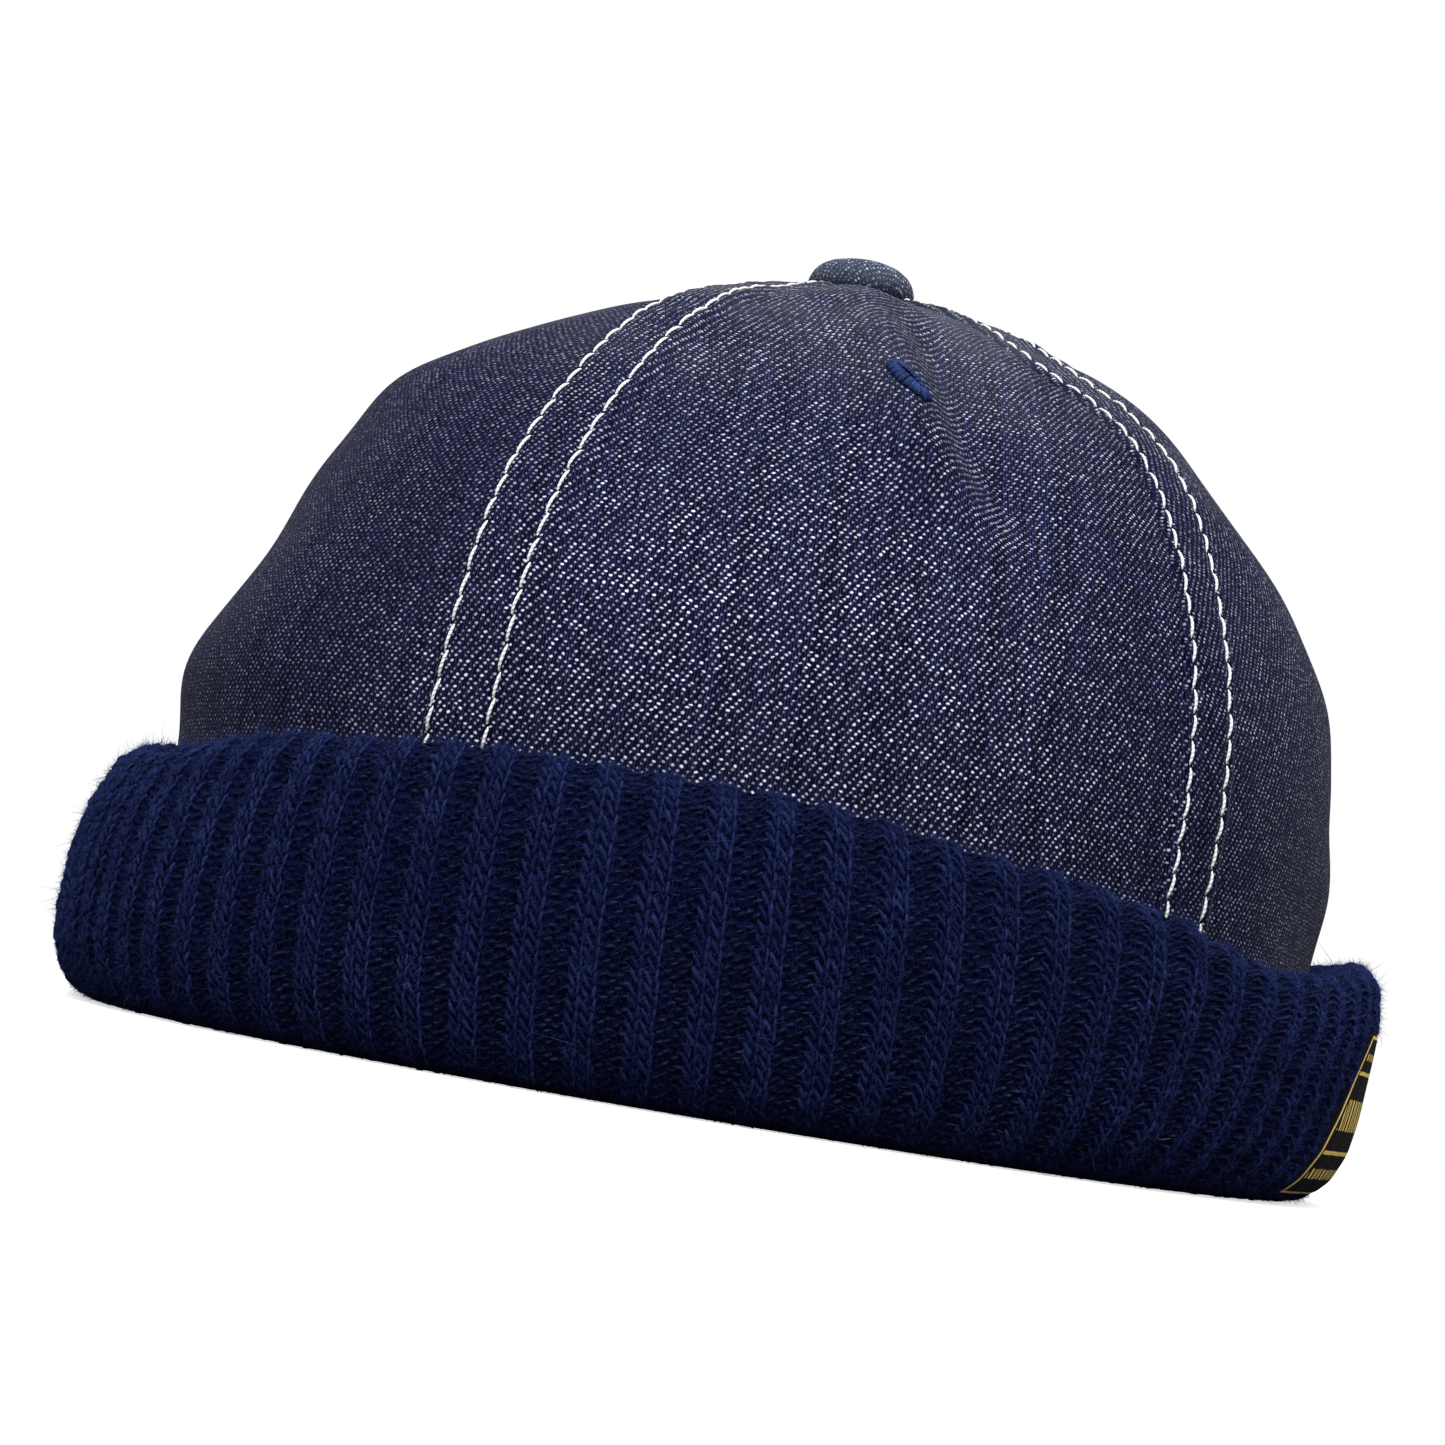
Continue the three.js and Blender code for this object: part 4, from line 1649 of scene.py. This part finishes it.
@dataclass(frozen=True)
class CuffForm:
    """Turned-up band: a rounded section carried round the crown's lower edge, with two-by-two ribs."""

    crown: CrownForm
    ribs: int = 86
    rib_depth: float = 1.4
    rib_edge: float = 2.4
    rib_balance: float = 0.08
    rounding: float = 0.8
    top: float = 38.8
    fold_level: float = 20
    step: float = 0.1
    twist: float = 3.3
    twist_from: tuple[float, float] = (-22, 2)
    twist_to: tuple[float, float] = (32, 60)
    side_twist: float = 8
    side_twist_from: tuple[float, float] = (50, 80)
    side_twist_to: tuple[float, float] = (116, 150)
    twist_low: float = 4
    twist_high: float = 54

    def section(self) -> tuple[Array, Array]:
        """Lengths along the closed section and its corners' four values there.

        The values run straight between corners and are then rounded by a closed bell-shaped blur, which is a
        product in the Fourier transform.

        Returns:
            Lengths, and the values by length.
        """
        corners = np.array([*CUFF_SECTION, CUFF_SECTION[0]])
        chord = np.linalg.norm(np.diff(corners[:, :2], axis=0), axis=1)
        length = np.concatenate([[0], np.cumsum(chord)])
        run = np.arange(0, length[-1], self.step)
        track = np.stack([np.interp(run, length, values) for values in corners.T], -1)
        rate = np.fft.fftfreq(len(run), d=self.step)
        bell = np.exp(-2 * (np.pi * self.rounding * rate) ** 2)[:, None]
        return run, np.fft.ifft(np.fft.fft(track, axis=0) * bell, axis=0).real

    def rim(self, angle: Array) -> tuple[Array, Array]:
        """Top height and flare of the rim at an angle, eased between the table's rows."""
        table = np.array(CUFF_RIM)
        first = table[0, 0]
        rows = np.concatenate([table, table[:1] + [[360, 0, 0]]])
        wrapped = first + np.mod(np.degrees(angle) - first, 360)
        after = np.clip(np.searchsorted(rows[:, 0], wrapped, side="right"), 1, len(rows) - 1)
        share = (wrapped - rows[after - 1, 0]) / (rows[after, 0] - rows[after - 1, 0])
        ease = share * share * (3 - 2 * share)
        value = rows[after - 1, 1:] + (rows[after, 1:] - rows[after - 1, 1:]) * ease[..., None]
        return value[..., 0], value[..., 1]

    def rib_sink(self, angle: Array) -> Array:
        """Share of the rib's depth: 0 on the two knit wales, 1 on the two purl wales, eased between."""
        wave = np.cos(angle * self.ribs)
        return 0.5 - 0.5 * np.tanh(self.rib_edge * (wave + self.rib_balance)) / math.tanh(self.rib_edge)

    def twist_at(self, angle: Array, run: Array, total: float) -> Array:
        """Turn of the ribs where the pulled-down band skews them: one way in front, the other by the label.

        Args:
            angle: Angles round the cuff.
            run: Lengths along the section.
            total: Length of the whole section.

        Returns:
            Radians, from one half turn low on the face to the opposite half turn high on it.
        """
        degrees = np.degrees(np.arctan2(np.sin(angle), np.cos(angle)))
        front = ramp(degrees, *self.twist_from) * (1 - ramp(degrees, *self.twist_to))
        beside = ramp(degrees, *self.side_twist_from) * (1 - ramp(degrees, *self.side_twist_to))
        share = np.interp(run, [self.twist_low, self.twist_high, total], [0.5, -0.5, 0.5], period=total)
        return np.radians(self.twist * front - self.side_twist * beside) * share

    def point(self, angle: Array, run: Array, lift: Array) -> tuple[Array, Array]:
        """Place on the cuff, and the outward direction there.

        Args:
            angle: Angles round the cuff.
            run: Lengths along the section.
            lift: Millimetres out of the ribbed face.

        Returns:
            Points, and outward directions.
        """
        angle, run, lift = np.broadcast_arrays(angle, run, lift)
        table, track = self.section()
        total = table[-1] + self.step
        out, up, rib, flare = (np.interp(run, table, values, period=total) for values in track.T)
        slope = np.gradient(track[:, :2], self.step, axis=0)
        run_out, run_up = (np.interp(run, table, values, period=total) for values in slope.T)
        size = np.maximum(np.hypot(run_out, run_up), 1e-9)
        normal_out, normal_up = run_up / size, -run_out / size
        sink = self.rib_sink(angle)
        angle = angle + self.twist_at(angle, run, total)
        top, rim_flare = self.rim(angle)
        over_fold = np.maximum(0, up - self.fold_level) / (self.top - self.fold_level)
        moved = lift - self.rib_depth * rib * sink
        out = out + flare * rim_flare + normal_out * moved
        up = up + over_fold * (top - self.top) + normal_up * moved
        across, ahead = np.sin(angle) / self.crown.half_width, -np.cos(angle) / self.crown.half_length
        away = unit(np.stack([across, ahead, np.zeros_like(across)], -1))
        sideways, forwards = self.crown.half_width * np.sin(angle), -self.crown.half_length * np.cos(angle)
        wall = np.stack([sideways, forwards, up], -1)
        points = wall + away * out[..., None] + self.crown.lean_at(up) * np.array([1, 1, 0])
        outward = away * normal_out[..., None] + np.array([0, 0, 1.0]) * normal_up[..., None]
        return points, outward


@dataclass(frozen=True)
class LabelPlace:
    """Where the label lies on the cuff: its sides' angles, their slant, and its section lengths."""

    first_angle: float = 89.0
    last_angle: float = 117.0
    slant: float = 7.0
    slant_loss: float = 0.6
    first_run: float = 10.2
    last_run: float = 38.9
    margin: float = 0.4

    def covers(self, angle: Array, run: Array) -> Array:
        """True where the label and a thin margin beside it hide the knit."""
        climbed = np.clip((run - self.first_run) / (self.last_run - self.first_run), 0, 1)
        shift = self.slant * climbed**2
        degrees = np.degrees(np.mod(angle, 2 * np.pi))
        first = self.first_angle - self.margin + shift
        last = self.last_angle + self.margin + (1 - self.slant_loss) * shift
        within = (run > self.first_run) & (run < self.last_run)
        return (degrees > first) & (degrees < last) & within


class Leg(NamedTuple):
    """Leg of a knit stitch.

    Foot and head are shares of the wale across it, low and high are shares of the course along it, and the
    rest are the half width and how much lighter the leg is painted: a painted highlight on the right leg
    and painted shade on the left.
    """

    foot: float
    head: float
    low: float
    high: float
    width: float
    light: float


# Right legs painted lighter as a highlight, left legs painted darker as shade
LEGS = (Leg(0.10, -0.44, -0.42, 0.72, 0.27, -0.06), Leg(0.30, 0.36, -0.2, 1.02, 0.2, 0.06))
RIB_REPEAT = 4
# Places of the two knit wales in the rib, and how much lighter the right legs are painted: a painted
# highlight on the rib's right wale
RIB_WALES = ((-0.125, 0.0), (0.125, 0.16))
PURL_ROWS = (((0.36, 0.61), 0.0), ((0.48, 0.71), 0.5))


@dataclass
class KnitCuff:
    """Knitted band: a ribbed ground painted dark as shade, stitch legs on the knit wales and small loops on
    the purl wales.
    """

    form: CuffForm
    label: LabelPlace
    finishes: FinishRoom
    columns: int = 516
    ground_rows: int = 104
    ground_lift: float = -0.78
    course: float = 1.6
    first_run: float = 2.2
    last_run: float = 56.0
    leg_height: float = 0.29
    leg_lift: float = -0.42
    leg_arch: float = 0.3
    leg_taper: tuple[float, ...] = (0.6, 1, 1, 0.6)
    loop_lift: float = -0.52
    loop_arch: float = 0.3
    loop_taper: tuple[float, ...] = (0.6, 1, 0.6)
    loop_across: float = 0.54
    loop_climb: float = 0.44
    loop_width: float = 0.23
    loop_height: float = 0.22
    yarn_sides: int = 4
    sectors: int = 4

    def ground(self) -> Surface:
        """Closed ribbed ring: the section's rows carried round all the columns."""
        table, track = self.form.section()
        total = table[-1] + self.form.step
        run = np.linspace(0, total, self.ground_rows, endpoint=False)
        angle = 2 * np.pi * np.arange(self.columns) / self.columns
        face = np.interp(run, table, track[:, 2], period=total)
        lift = self.ground_lift * (0.15 + 0.85 * np.clip(face, 0, 1))
        points, _ = self.form.point(angle[:, None], run[None], lift[None])
        points[..., 2] = np.maximum(points[..., 2], 0)
        number = np.arange(points.shape[0] * points.shape[1]).reshape(points.shape[:2])
        beside = np.roll(number, -1, axis=0)
        above = np.roll(number, -1, axis=1)
        corner = np.roll(beside, -1, axis=1)
        quads = np.stack([number, beside, corner, above], -1).reshape(-1, 4)
        wales = angle * self.form.ribs * RIB_REPEAT / (2 * np.pi) * WALE
        cloth = np.stack(np.broadcast_arrays(wales[:, None], run[None]), -1)
        return Surface(points.reshape(-1, 3), [quads], cloth.reshape(-1, 2))

    def stations(self, offsets: tuple[float, float], luck: np.random.Generator) -> tuple[Array, Array]:
        """Angles and section lengths of every stitch on two wales of each rib.

        Args:
            offsets: Places of the wales, as shares of the rib's repeat.
            luck: Source of the small unevenness.

        Returns:
            Angles and section lengths, one for each stitch clear of the label.
        """
        courses = np.arange(self.first_run, self.last_run, self.course)
        wale = (np.arange(self.form.ribs)[:, None] + np.array(offsets)).ravel()
        wale = wale + luck.normal(0, 0.006, wale.shape)
        angle = (wale * 2 * np.pi / self.form.ribs)[:, None] + 0 * courses
        run = courses[None] + luck.normal(0, 0.05, angle.shape) + luck.uniform(-0.3, 0.3, (len(wale), 1))
        keep = ~self.label.covers(angle, run)
        return angle[keep], run[keep]

    def legs(self) -> Surface:
        """Legs of the knit stitches.

        The left leg slants from the wale's edge down to its middle. The right leg runs straight up the
        wale, so that the right legs of a rib line up as one thread, painted paler as a highlight. Both arch
        up between their sunken ends.

        Returns:
            All the legs.
        """
        luck = np.random.default_rng(SEED + 200)
        share = np.linspace(0, 1, len(self.leg_taper))
        wale = 2 * np.pi / (self.form.ribs * RIB_REPEAT)
        parts = []
        for place, painted_wale_highlight in RIB_WALES:
            angle, run = self.stations((place,), luck)
            count = len(angle)
            for leg in LEGS:
                across = leg.foot + (leg.head - leg.foot) * share + luck.normal(0, 0.035, (count, 1))
                climb = run[:, None] + self.course * (leg.low + (leg.high - leg.low) * share)
                arch = self.leg_lift - self.leg_arch * (2 * share - 1) ** 2 + luck.normal(0, 0.1, (count, 1))
                path, outward = self.form.point(angle[:, None] + wale * across, climb, arch)
                path[..., 2] = np.maximum(path[..., 2], self.leg_height)
                size = (1 + luck.normal(0, 0.1, (count, 1))) * np.array(self.leg_taper)
                # Painted highlight and shade: each leg's own lightness, plus the highlight on the right
                # wale's right legs
                light = np.clip(luck.beta(1.8, 2.4, count) + leg.light + painted_wale_highlight * (leg.light > 0), 0, 1)
                width, height = leg.width * size, self.leg_height * size
                parts.append(tubes(path, outward, width, height, self.yarn_sides, light))
        return Surface.joined(parts)

    def in_sectors(self, legs: Surface) -> list[Surface]:
        """Legs shared out by their place round the cuff, so that no piece is too large.

        Args:
            legs: All the legs, each with the same number of points and faces.

        Returns:
            The legs of each sector.
        """
        last_ring = self.yarn_sides * (len(self.leg_taper) - 1)
        each = last_ring + self.yarn_sides
        blocks = legs.points.reshape(-1, each, 3)
        turn = np.arctan2(blocks[..., 0].mean(1), -blocks[..., 1].mean(1))
        sector = np.floor(np.mod(turn / (2 * np.pi), 1) * self.sectors).astype(int)
        pattern = [legs.faces[0][:last_ring], legs.faces[1][:1], legs.faces[2][:1]]
        pattern[2] = pattern[2] - pattern[2].min() + last_ring
        parts = []
        for number in range(self.sectors):
            chosen = np.flatnonzero(sector == number)
            starts = each * np.arange(len(chosen))
            faces = [(block[None] + starts[:, None, None]).reshape(-1, 4) for block in pattern]
            points = blocks[chosen].reshape(-1, 3)
            cloth = legs.cloth.reshape(-1, each, 2)[chosen].reshape(-1, 2)
            strand = legs.strand.reshape(-1, each)[chosen].ravel()
            parts.append(Surface(points, faces, cloth, strand))
        return parts

    def loops(self, places: tuple[float, float], shift: float) -> Surface:
        """Small loops of the purl wales: short dashes that rise to the right.

        Args:
            places: Places of the dashes across the rib's repeat.
            shift: Courses that the dashes are moved up by.

        Returns:
            The dashes.
        """
        luck = np.random.default_rng(SEED + 300 + int(10 * shift))
        angle, run = self.stations(places, luck)
        count = len(angle)
        share = np.linspace(0, 1, len(self.loop_taper))
        wale = 2 * np.pi / (self.form.ribs * RIB_REPEAT)
        across = self.loop_across * (share - 0.5) + luck.normal(0, 0.07, (count, 1))
        aside = angle[:, None] + wale * across
        slope = self.loop_climb + luck.normal(0, 0.16, (count, 1))
        climb = run[:, None] + self.course * shift + slope * (share - 0.5)
        climb = climb + luck.normal(0, 0.12, (count, 1))
        lift = self.loop_lift + self.loop_arch * np.sin(np.pi * share) + luck.normal(0, 0.08, (count, 1))
        path, outward = self.form.point(aside, climb, lift)
        path[..., 2] = np.maximum(path[..., 2], self.leg_height)
        size = np.array(self.loop_taper) * (1 + luck.normal(0, 0.12, (count, 1)))
        width, height = self.loop_width * size, self.loop_height * size
        return tubes(path, outward, width, height, self.yarn_sides, luck.beta(1.3, 2.4, count))

    def build(self) -> list[bpy.types.Object]:
        """Make and dress the band, its stitches and its loops.

        Returns:
            The pieces, the band first.
        """
        band = self.ground().to_object("cuff_band", [self.finishes.get(Finish.SHADED_KNIT_GROUND)])
        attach(band, BODY)
        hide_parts("ribbed_cuff")
        pieces = [band]
        for number, legs in enumerate(self.in_sectors(self.legs())):
            pieces.append(legs.to_object(f"cuff_stitches_{number + 1}", [self.finishes.get(Finish.KNIT)]))
        for number, (places, shift) in enumerate(PURL_ROWS):
            loops = self.loops(places, shift)
            pieces.append(loops.to_object(f"cuff_purl_loops_{number + 1}", [self.finishes.get(Finish.PURL)]))
        for piece in pieces[1:]:
            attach(piece, BODY)
            log.info("%s: %d faces", piece.name, len(piece.data.polygons))
        return pieces


class Fibre(NamedTuple):
    """Build of loose fibres.

    Length is the middle one in millimetres and spread its spread as a logarithm. The rises are shares of
    the normal in the fibre's direction, curl is how far it bends as a share of its length, and rings how
    many rings it has.
    """

    length: float
    spread: float
    low_rise: float
    high_rise: float
    curl: float
    rings: int


NAP = Fibre(1.2, 0.4, 0.05, 0.45, 0, 1)
HALO = Fibre(1.1, 0.4, 0.35, 1.0, 0, 1)
STRAY = Fibre(2.6, 0.35, 0.5, 1.0, 0.6, 2)
LINT = Fibre(2.2, 0.3, 0.2, 0.5, 0.9, 2)


@dataclass
class CuffFuzz:
    """Loose wool fibres that stand out of the knit, and a few curls of pale lint."""

    form: CuffForm
    knit: KnitCuff
    finishes: FinishRoom
    nap_fibres: int = 44000
    halo_fibres: int = 44000
    stray_fibres: int = 1500
    lint_fibres: int = 16
    thickness: float = 0.04
    last_ring: float = 0.85
    root_lift: float = -0.5
    edge_gap: float = 1.5
    swing: float = 0.9
    lengths: tuple[float, float] = (0.4, 4.6)
    floor_gap: float = 0.06
    valley_shade: float = 0.6

    def fibres(self, count: int, kind: Fibre, seed: int) -> Surface:
        """Bent needles on the cuff's face.

        A fibre leaves its place along a direction between the face and its normal, and bends by the square
        of its share of length. Fibres are painted darker in the valleys, as shade.

        Args:
            count: How many fibres to scatter.
            kind: Build of the fibres.
            seed: Seed of the scatter.

        Returns:
            The fibres.
        """
        luck = np.random.default_rng(seed)
        angle = luck.uniform(0, 2 * np.pi, count)
        run = luck.uniform(self.knit.first_run + self.edge_gap, self.knit.last_run, count)
        keep = ~self.knit.label.covers(angle, run)
        angle, run = angle[keep], run[keep]
        count = len(angle)
        root = np.full(count, self.root_lift)
        base, outward = self.form.point(angle, run, root)
        ahead, _ = self.form.point(angle, run + 0.2, root)
        up = unit(ahead - base)
        aside = np.cross(up, outward)
        swing = luck.normal(0, self.swing, count)
        way = luck.choice([-1, 1], count)[:, None]
        along = up * np.cos(swing)[:, None] * way + aside * np.sin(swing)[:, None]
        height = luck.uniform(kind.low_rise, kind.high_rise, count)[:, None]
        heading = unit(along * np.sqrt(1 - height**2) + outward * height)
        size = np.clip(luck.lognormal(math.log(kind.length), kind.spread, count), *self.lengths)[:, None]
        sideways = luck.normal(0, kind.curl, (count, 1)) * aside
        bend = (sideways - np.abs(luck.normal(0, kind.curl, (count, 1))) * outward) * size
        share = np.linspace(0, 1, kind.rings + 1)[None, :, None]
        path = base[:, None] + heading[:, None] * size[:, None] * share + bend[:, None] * share**2
        path[..., 2] = np.maximum(path[..., 2], self.floor_gap)
        girth = self.thickness * np.linspace(1, self.last_ring, kind.rings)
        light = luck.uniform(0, 1, count) * (1 - self.valley_shade * self.form.rib_sink(angle))
        return needles(path, outward + 0.3 * aside, girth, light)

    def build(self) -> list[bpy.types.Object]:
        """Make and dress the fibres and the lint.

        Returns:
            The pieces.
        """
        wool = [self.finishes.get(Finish.FUZZ)]
        stray = self.fibres(self.stray_fibres, STRAY, SEED + 402)
        lint = self.fibres(self.lint_fibres, LINT, SEED + 403)
        pieces = [
            stray.to_object("cuff_stray", wool),
            lint.to_object("cuff_lint", [self.finishes.get(Finish.LINT)]),
        ]
        for number in range(2):
            nap = self.fibres(self.nap_fibres, NAP, SEED + 410 + number)
            halo = self.fibres(self.halo_fibres, HALO, SEED + 420 + number)
            pieces.append(nap.to_object(f"cuff_nap_{number + 1}", wool))
            pieces.append(halo.to_object(f"cuff_halo_{number + 1}", wool))
        for piece in pieces:
            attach(piece, BODY)
            log.info("%s: %d faces", piece.name, len(piece.data.polygons))
        return pieces


@dataclass
class WovenLabel:
    """Plain woven label sewn to the cuff on the wearer's left."""

    form: CuffForm
    place: LabelPlace
    finishes: FinishRoom
    lift: float = -0.2
    thickness: float = 0.6
    wave: float = 0.1
    wave_inside: tuple[float, float] = (0.5, 5)
    edge_dip: float = 0.25
    edge_reach: float = 1.6
    columns: int = 64
    rows: int = 40

    def build(self) -> bpy.types.Object:
        """Make and dress the label.

        It is a closed sheet laid on the cuff's smooth face. Its first side leans by the slant times the
        square of the share of height, and its last side less. Soft waves lift it where the ribs push it
        out, and its edges dip into the knit.

        Returns:
            The piece.
        """
        across = np.linspace(0, 1, self.columns)[None]
        up = np.linspace(0, 1, self.rows)[:, None]
        place = self.place
        degrees = place.first_angle + (place.last_angle - place.first_angle) * across
        degrees = degrees + place.slant * up**2 * (1 - place.slant_loss * across)
        run = place.first_run + (place.last_run - place.first_run) * up + 0 * across
        angle = np.radians(degrees)
        sides = np.minimum(across, 1 - across) * LABEL_SIZE[0]
        edge = np.minimum(sides, np.minimum(up, 1 - up) * LABEL_SIZE[1])
        wave = self.wave * np.cos(angle * self.form.ribs) * ramp(edge, *self.wave_inside)
        level = self.lift + wave - self.edge_dip * (1 - ramp(edge, 0, self.edge_reach))
        table, track = self.form.section()
        rib = np.interp(run, table, track[:, 2])
        fill = self.form.rib_depth * rib * self.form.rib_sink(angle)
        outer, _ = self.form.point(angle, run, level + fill)
        inner, _ = self.form.point(angle, run, level + fill - self.thickness)
        cloth = np.stack(np.broadcast_arrays(across * LABEL_SIZE[0], up * LABEL_SIZE[1]), -1)
        weave = self.finishes.get(Finish.LABEL)
        piece = closed_wall(outer, inner, cloth).to_object("woven_label", [weave, weave], 50)
        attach(piece, BODY)
        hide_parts("side_label")
        log.info("%s: %.0f x %.0f mm", piece.name, *LABEL_SIZE)
        return piece


# Studio


@dataclass(frozen=True)
class SoftLight:
    """Large soft lamp: its place and the point it faces in metres, its size and its power."""

    name: str
    place: Vector
    aim: Vector
    size: float
    power: float


@dataclass
class Studio:
    """Pale floor, soft lights and the camera."""

    finishes: FinishRoom
    floor_half: float = 3000.0
    floor_lines: int = 9
    floor_drop: float = 0.02
    eye: Vector = (0.19069, -0.4294, 0.0123)
    heading: float = 24.959
    pitch: float = 5.811
    roll: float = 9.791
    lens: float = 72.55
    fill: float = 0.42
    lights: tuple[SoftLight, ...] = (
        SoftLight("key_light", (0.26, -0.62, 0.84), (0, 0, 0.07), 0.8, 14.2),
        SoftLight("top_light", (0.05, 0.0, 1.2), (0, 0, 0.07), 0.8, 4.0),
    )

    def build_floor(self) -> None:
        """Square floor a hair under the cuff, laid as a small grid."""
        side = np.linspace(-self.floor_half, self.floor_half, self.floor_lines)
        x, y = np.meshgrid(side, side)
        points = np.stack([x, y, np.full(x.shape, -self.floor_drop)], -1).reshape(-1, 3)
        surface = Surface(points, [grid_quads(self.floor_lines, self.floor_lines)], points[:, :2])
        surface.to_object("floor", [self.finishes.get(Finish.FLOOR)])

    def build_light(self) -> None:
        """White surroundings, softer as a light than they look, and the soft lamps."""
        world = bpy.data.worlds.new("white_room")
        bpy.context.scene.world = world
        world.use_nodes = True
        desk = NodeDesk(world.node_tree)
        seen = desk.add("ShaderNodeLightPath").outputs["Is Camera Ray"]
        strength = desk.ease(seen, 0, 1, self.fill, 1.0)
        desk.feed(world.node_tree.nodes["Background"].inputs["Strength"], strength)
        world.node_tree.nodes["Background"].inputs["Color"].default_value = (1, 1, 1, 1)
        for lamp in self.lights:
            data = bpy.data.lights.new(lamp.name, "AREA")
            data.size = lamp.size
            data.energy = lamp.power
            node = bpy.data.objects.new(lamp.name, data)
            back = unit(np.array(lamp.place) - np.array(lamp.aim))
            side = unit(np.cross([0.0, 1.0, 0.0] if abs(back[2]) > 0.95 else [0.0, 0.0, 1.0], back))
            axes = np.stack([side, np.cross(back, side), back], -1)
            node.matrix_world = Matrix.Translation(lamp.place) @ Matrix(axes.tolist()).to_4x4()
            bpy.context.scene.collection.objects.link(node)

    def build_camera(self) -> None:
        """Camera low at the front, on the wearer's left: turned from +Y by three angles in degrees."""
        data = bpy.data.cameras.new("camera")
        data.sensor_width = 36
        data.lens = self.lens
        data.clip_start = 0.01
        data.clip_end = 50
        camera = bpy.data.objects.new("camera", data)
        heading, pitch, roll = np.radians([self.heading, self.pitch, self.roll])
        level = np.array([np.cos(heading), np.sin(heading), 0])
        ahead = np.cross([0, 0, np.cos(pitch)], level) + np.array([0, 0, np.sin(pitch)])
        right = level * np.cos(roll) + np.cross(level, ahead) * np.sin(roll)
        axes = np.stack([right, np.cross(right, ahead), -ahead], -1)
        camera.matrix_world = Matrix.Translation(self.eye) @ Matrix(axes.tolist()).to_4x4()
        bpy.context.scene.collection.objects.link(camera)
        bpy.context.scene.camera = camera

    def build(self) -> None:
        """Set the studio up."""
        self.build_floor()
        self.build_light()
        self.build_camera()
        bpy.context.scene.view_settings.view_transform = "Standard"
        log.info("studio: %d lights", len(self.lights))


def main() -> None:
    """Build every piece in order."""
    logging.basicConfig(level=logging.INFO, format="%(message)s")
    finishes = FinishRoom()
    crown = CrownForm()
    lap = Lap()
    cuff = CuffForm(crown)
    label = LabelPlace()
    Studio(finishes).build()
    Crown(crown, lap, finishes).build()
    Topstitching(crown, lap, finishes).build()
    CoveredButton(crown, finishes).build()
    Eyelets(crown, finishes).build()
    knit = KnitCuff(cuff, label, finishes)
    knit_pieces = knit.build()
    fuzz_pieces = CuffFuzz(cuff, knit, finishes).build()
    WovenLabel(cuff, label, finishes).build()


if __name__ == "__main__":
    main()
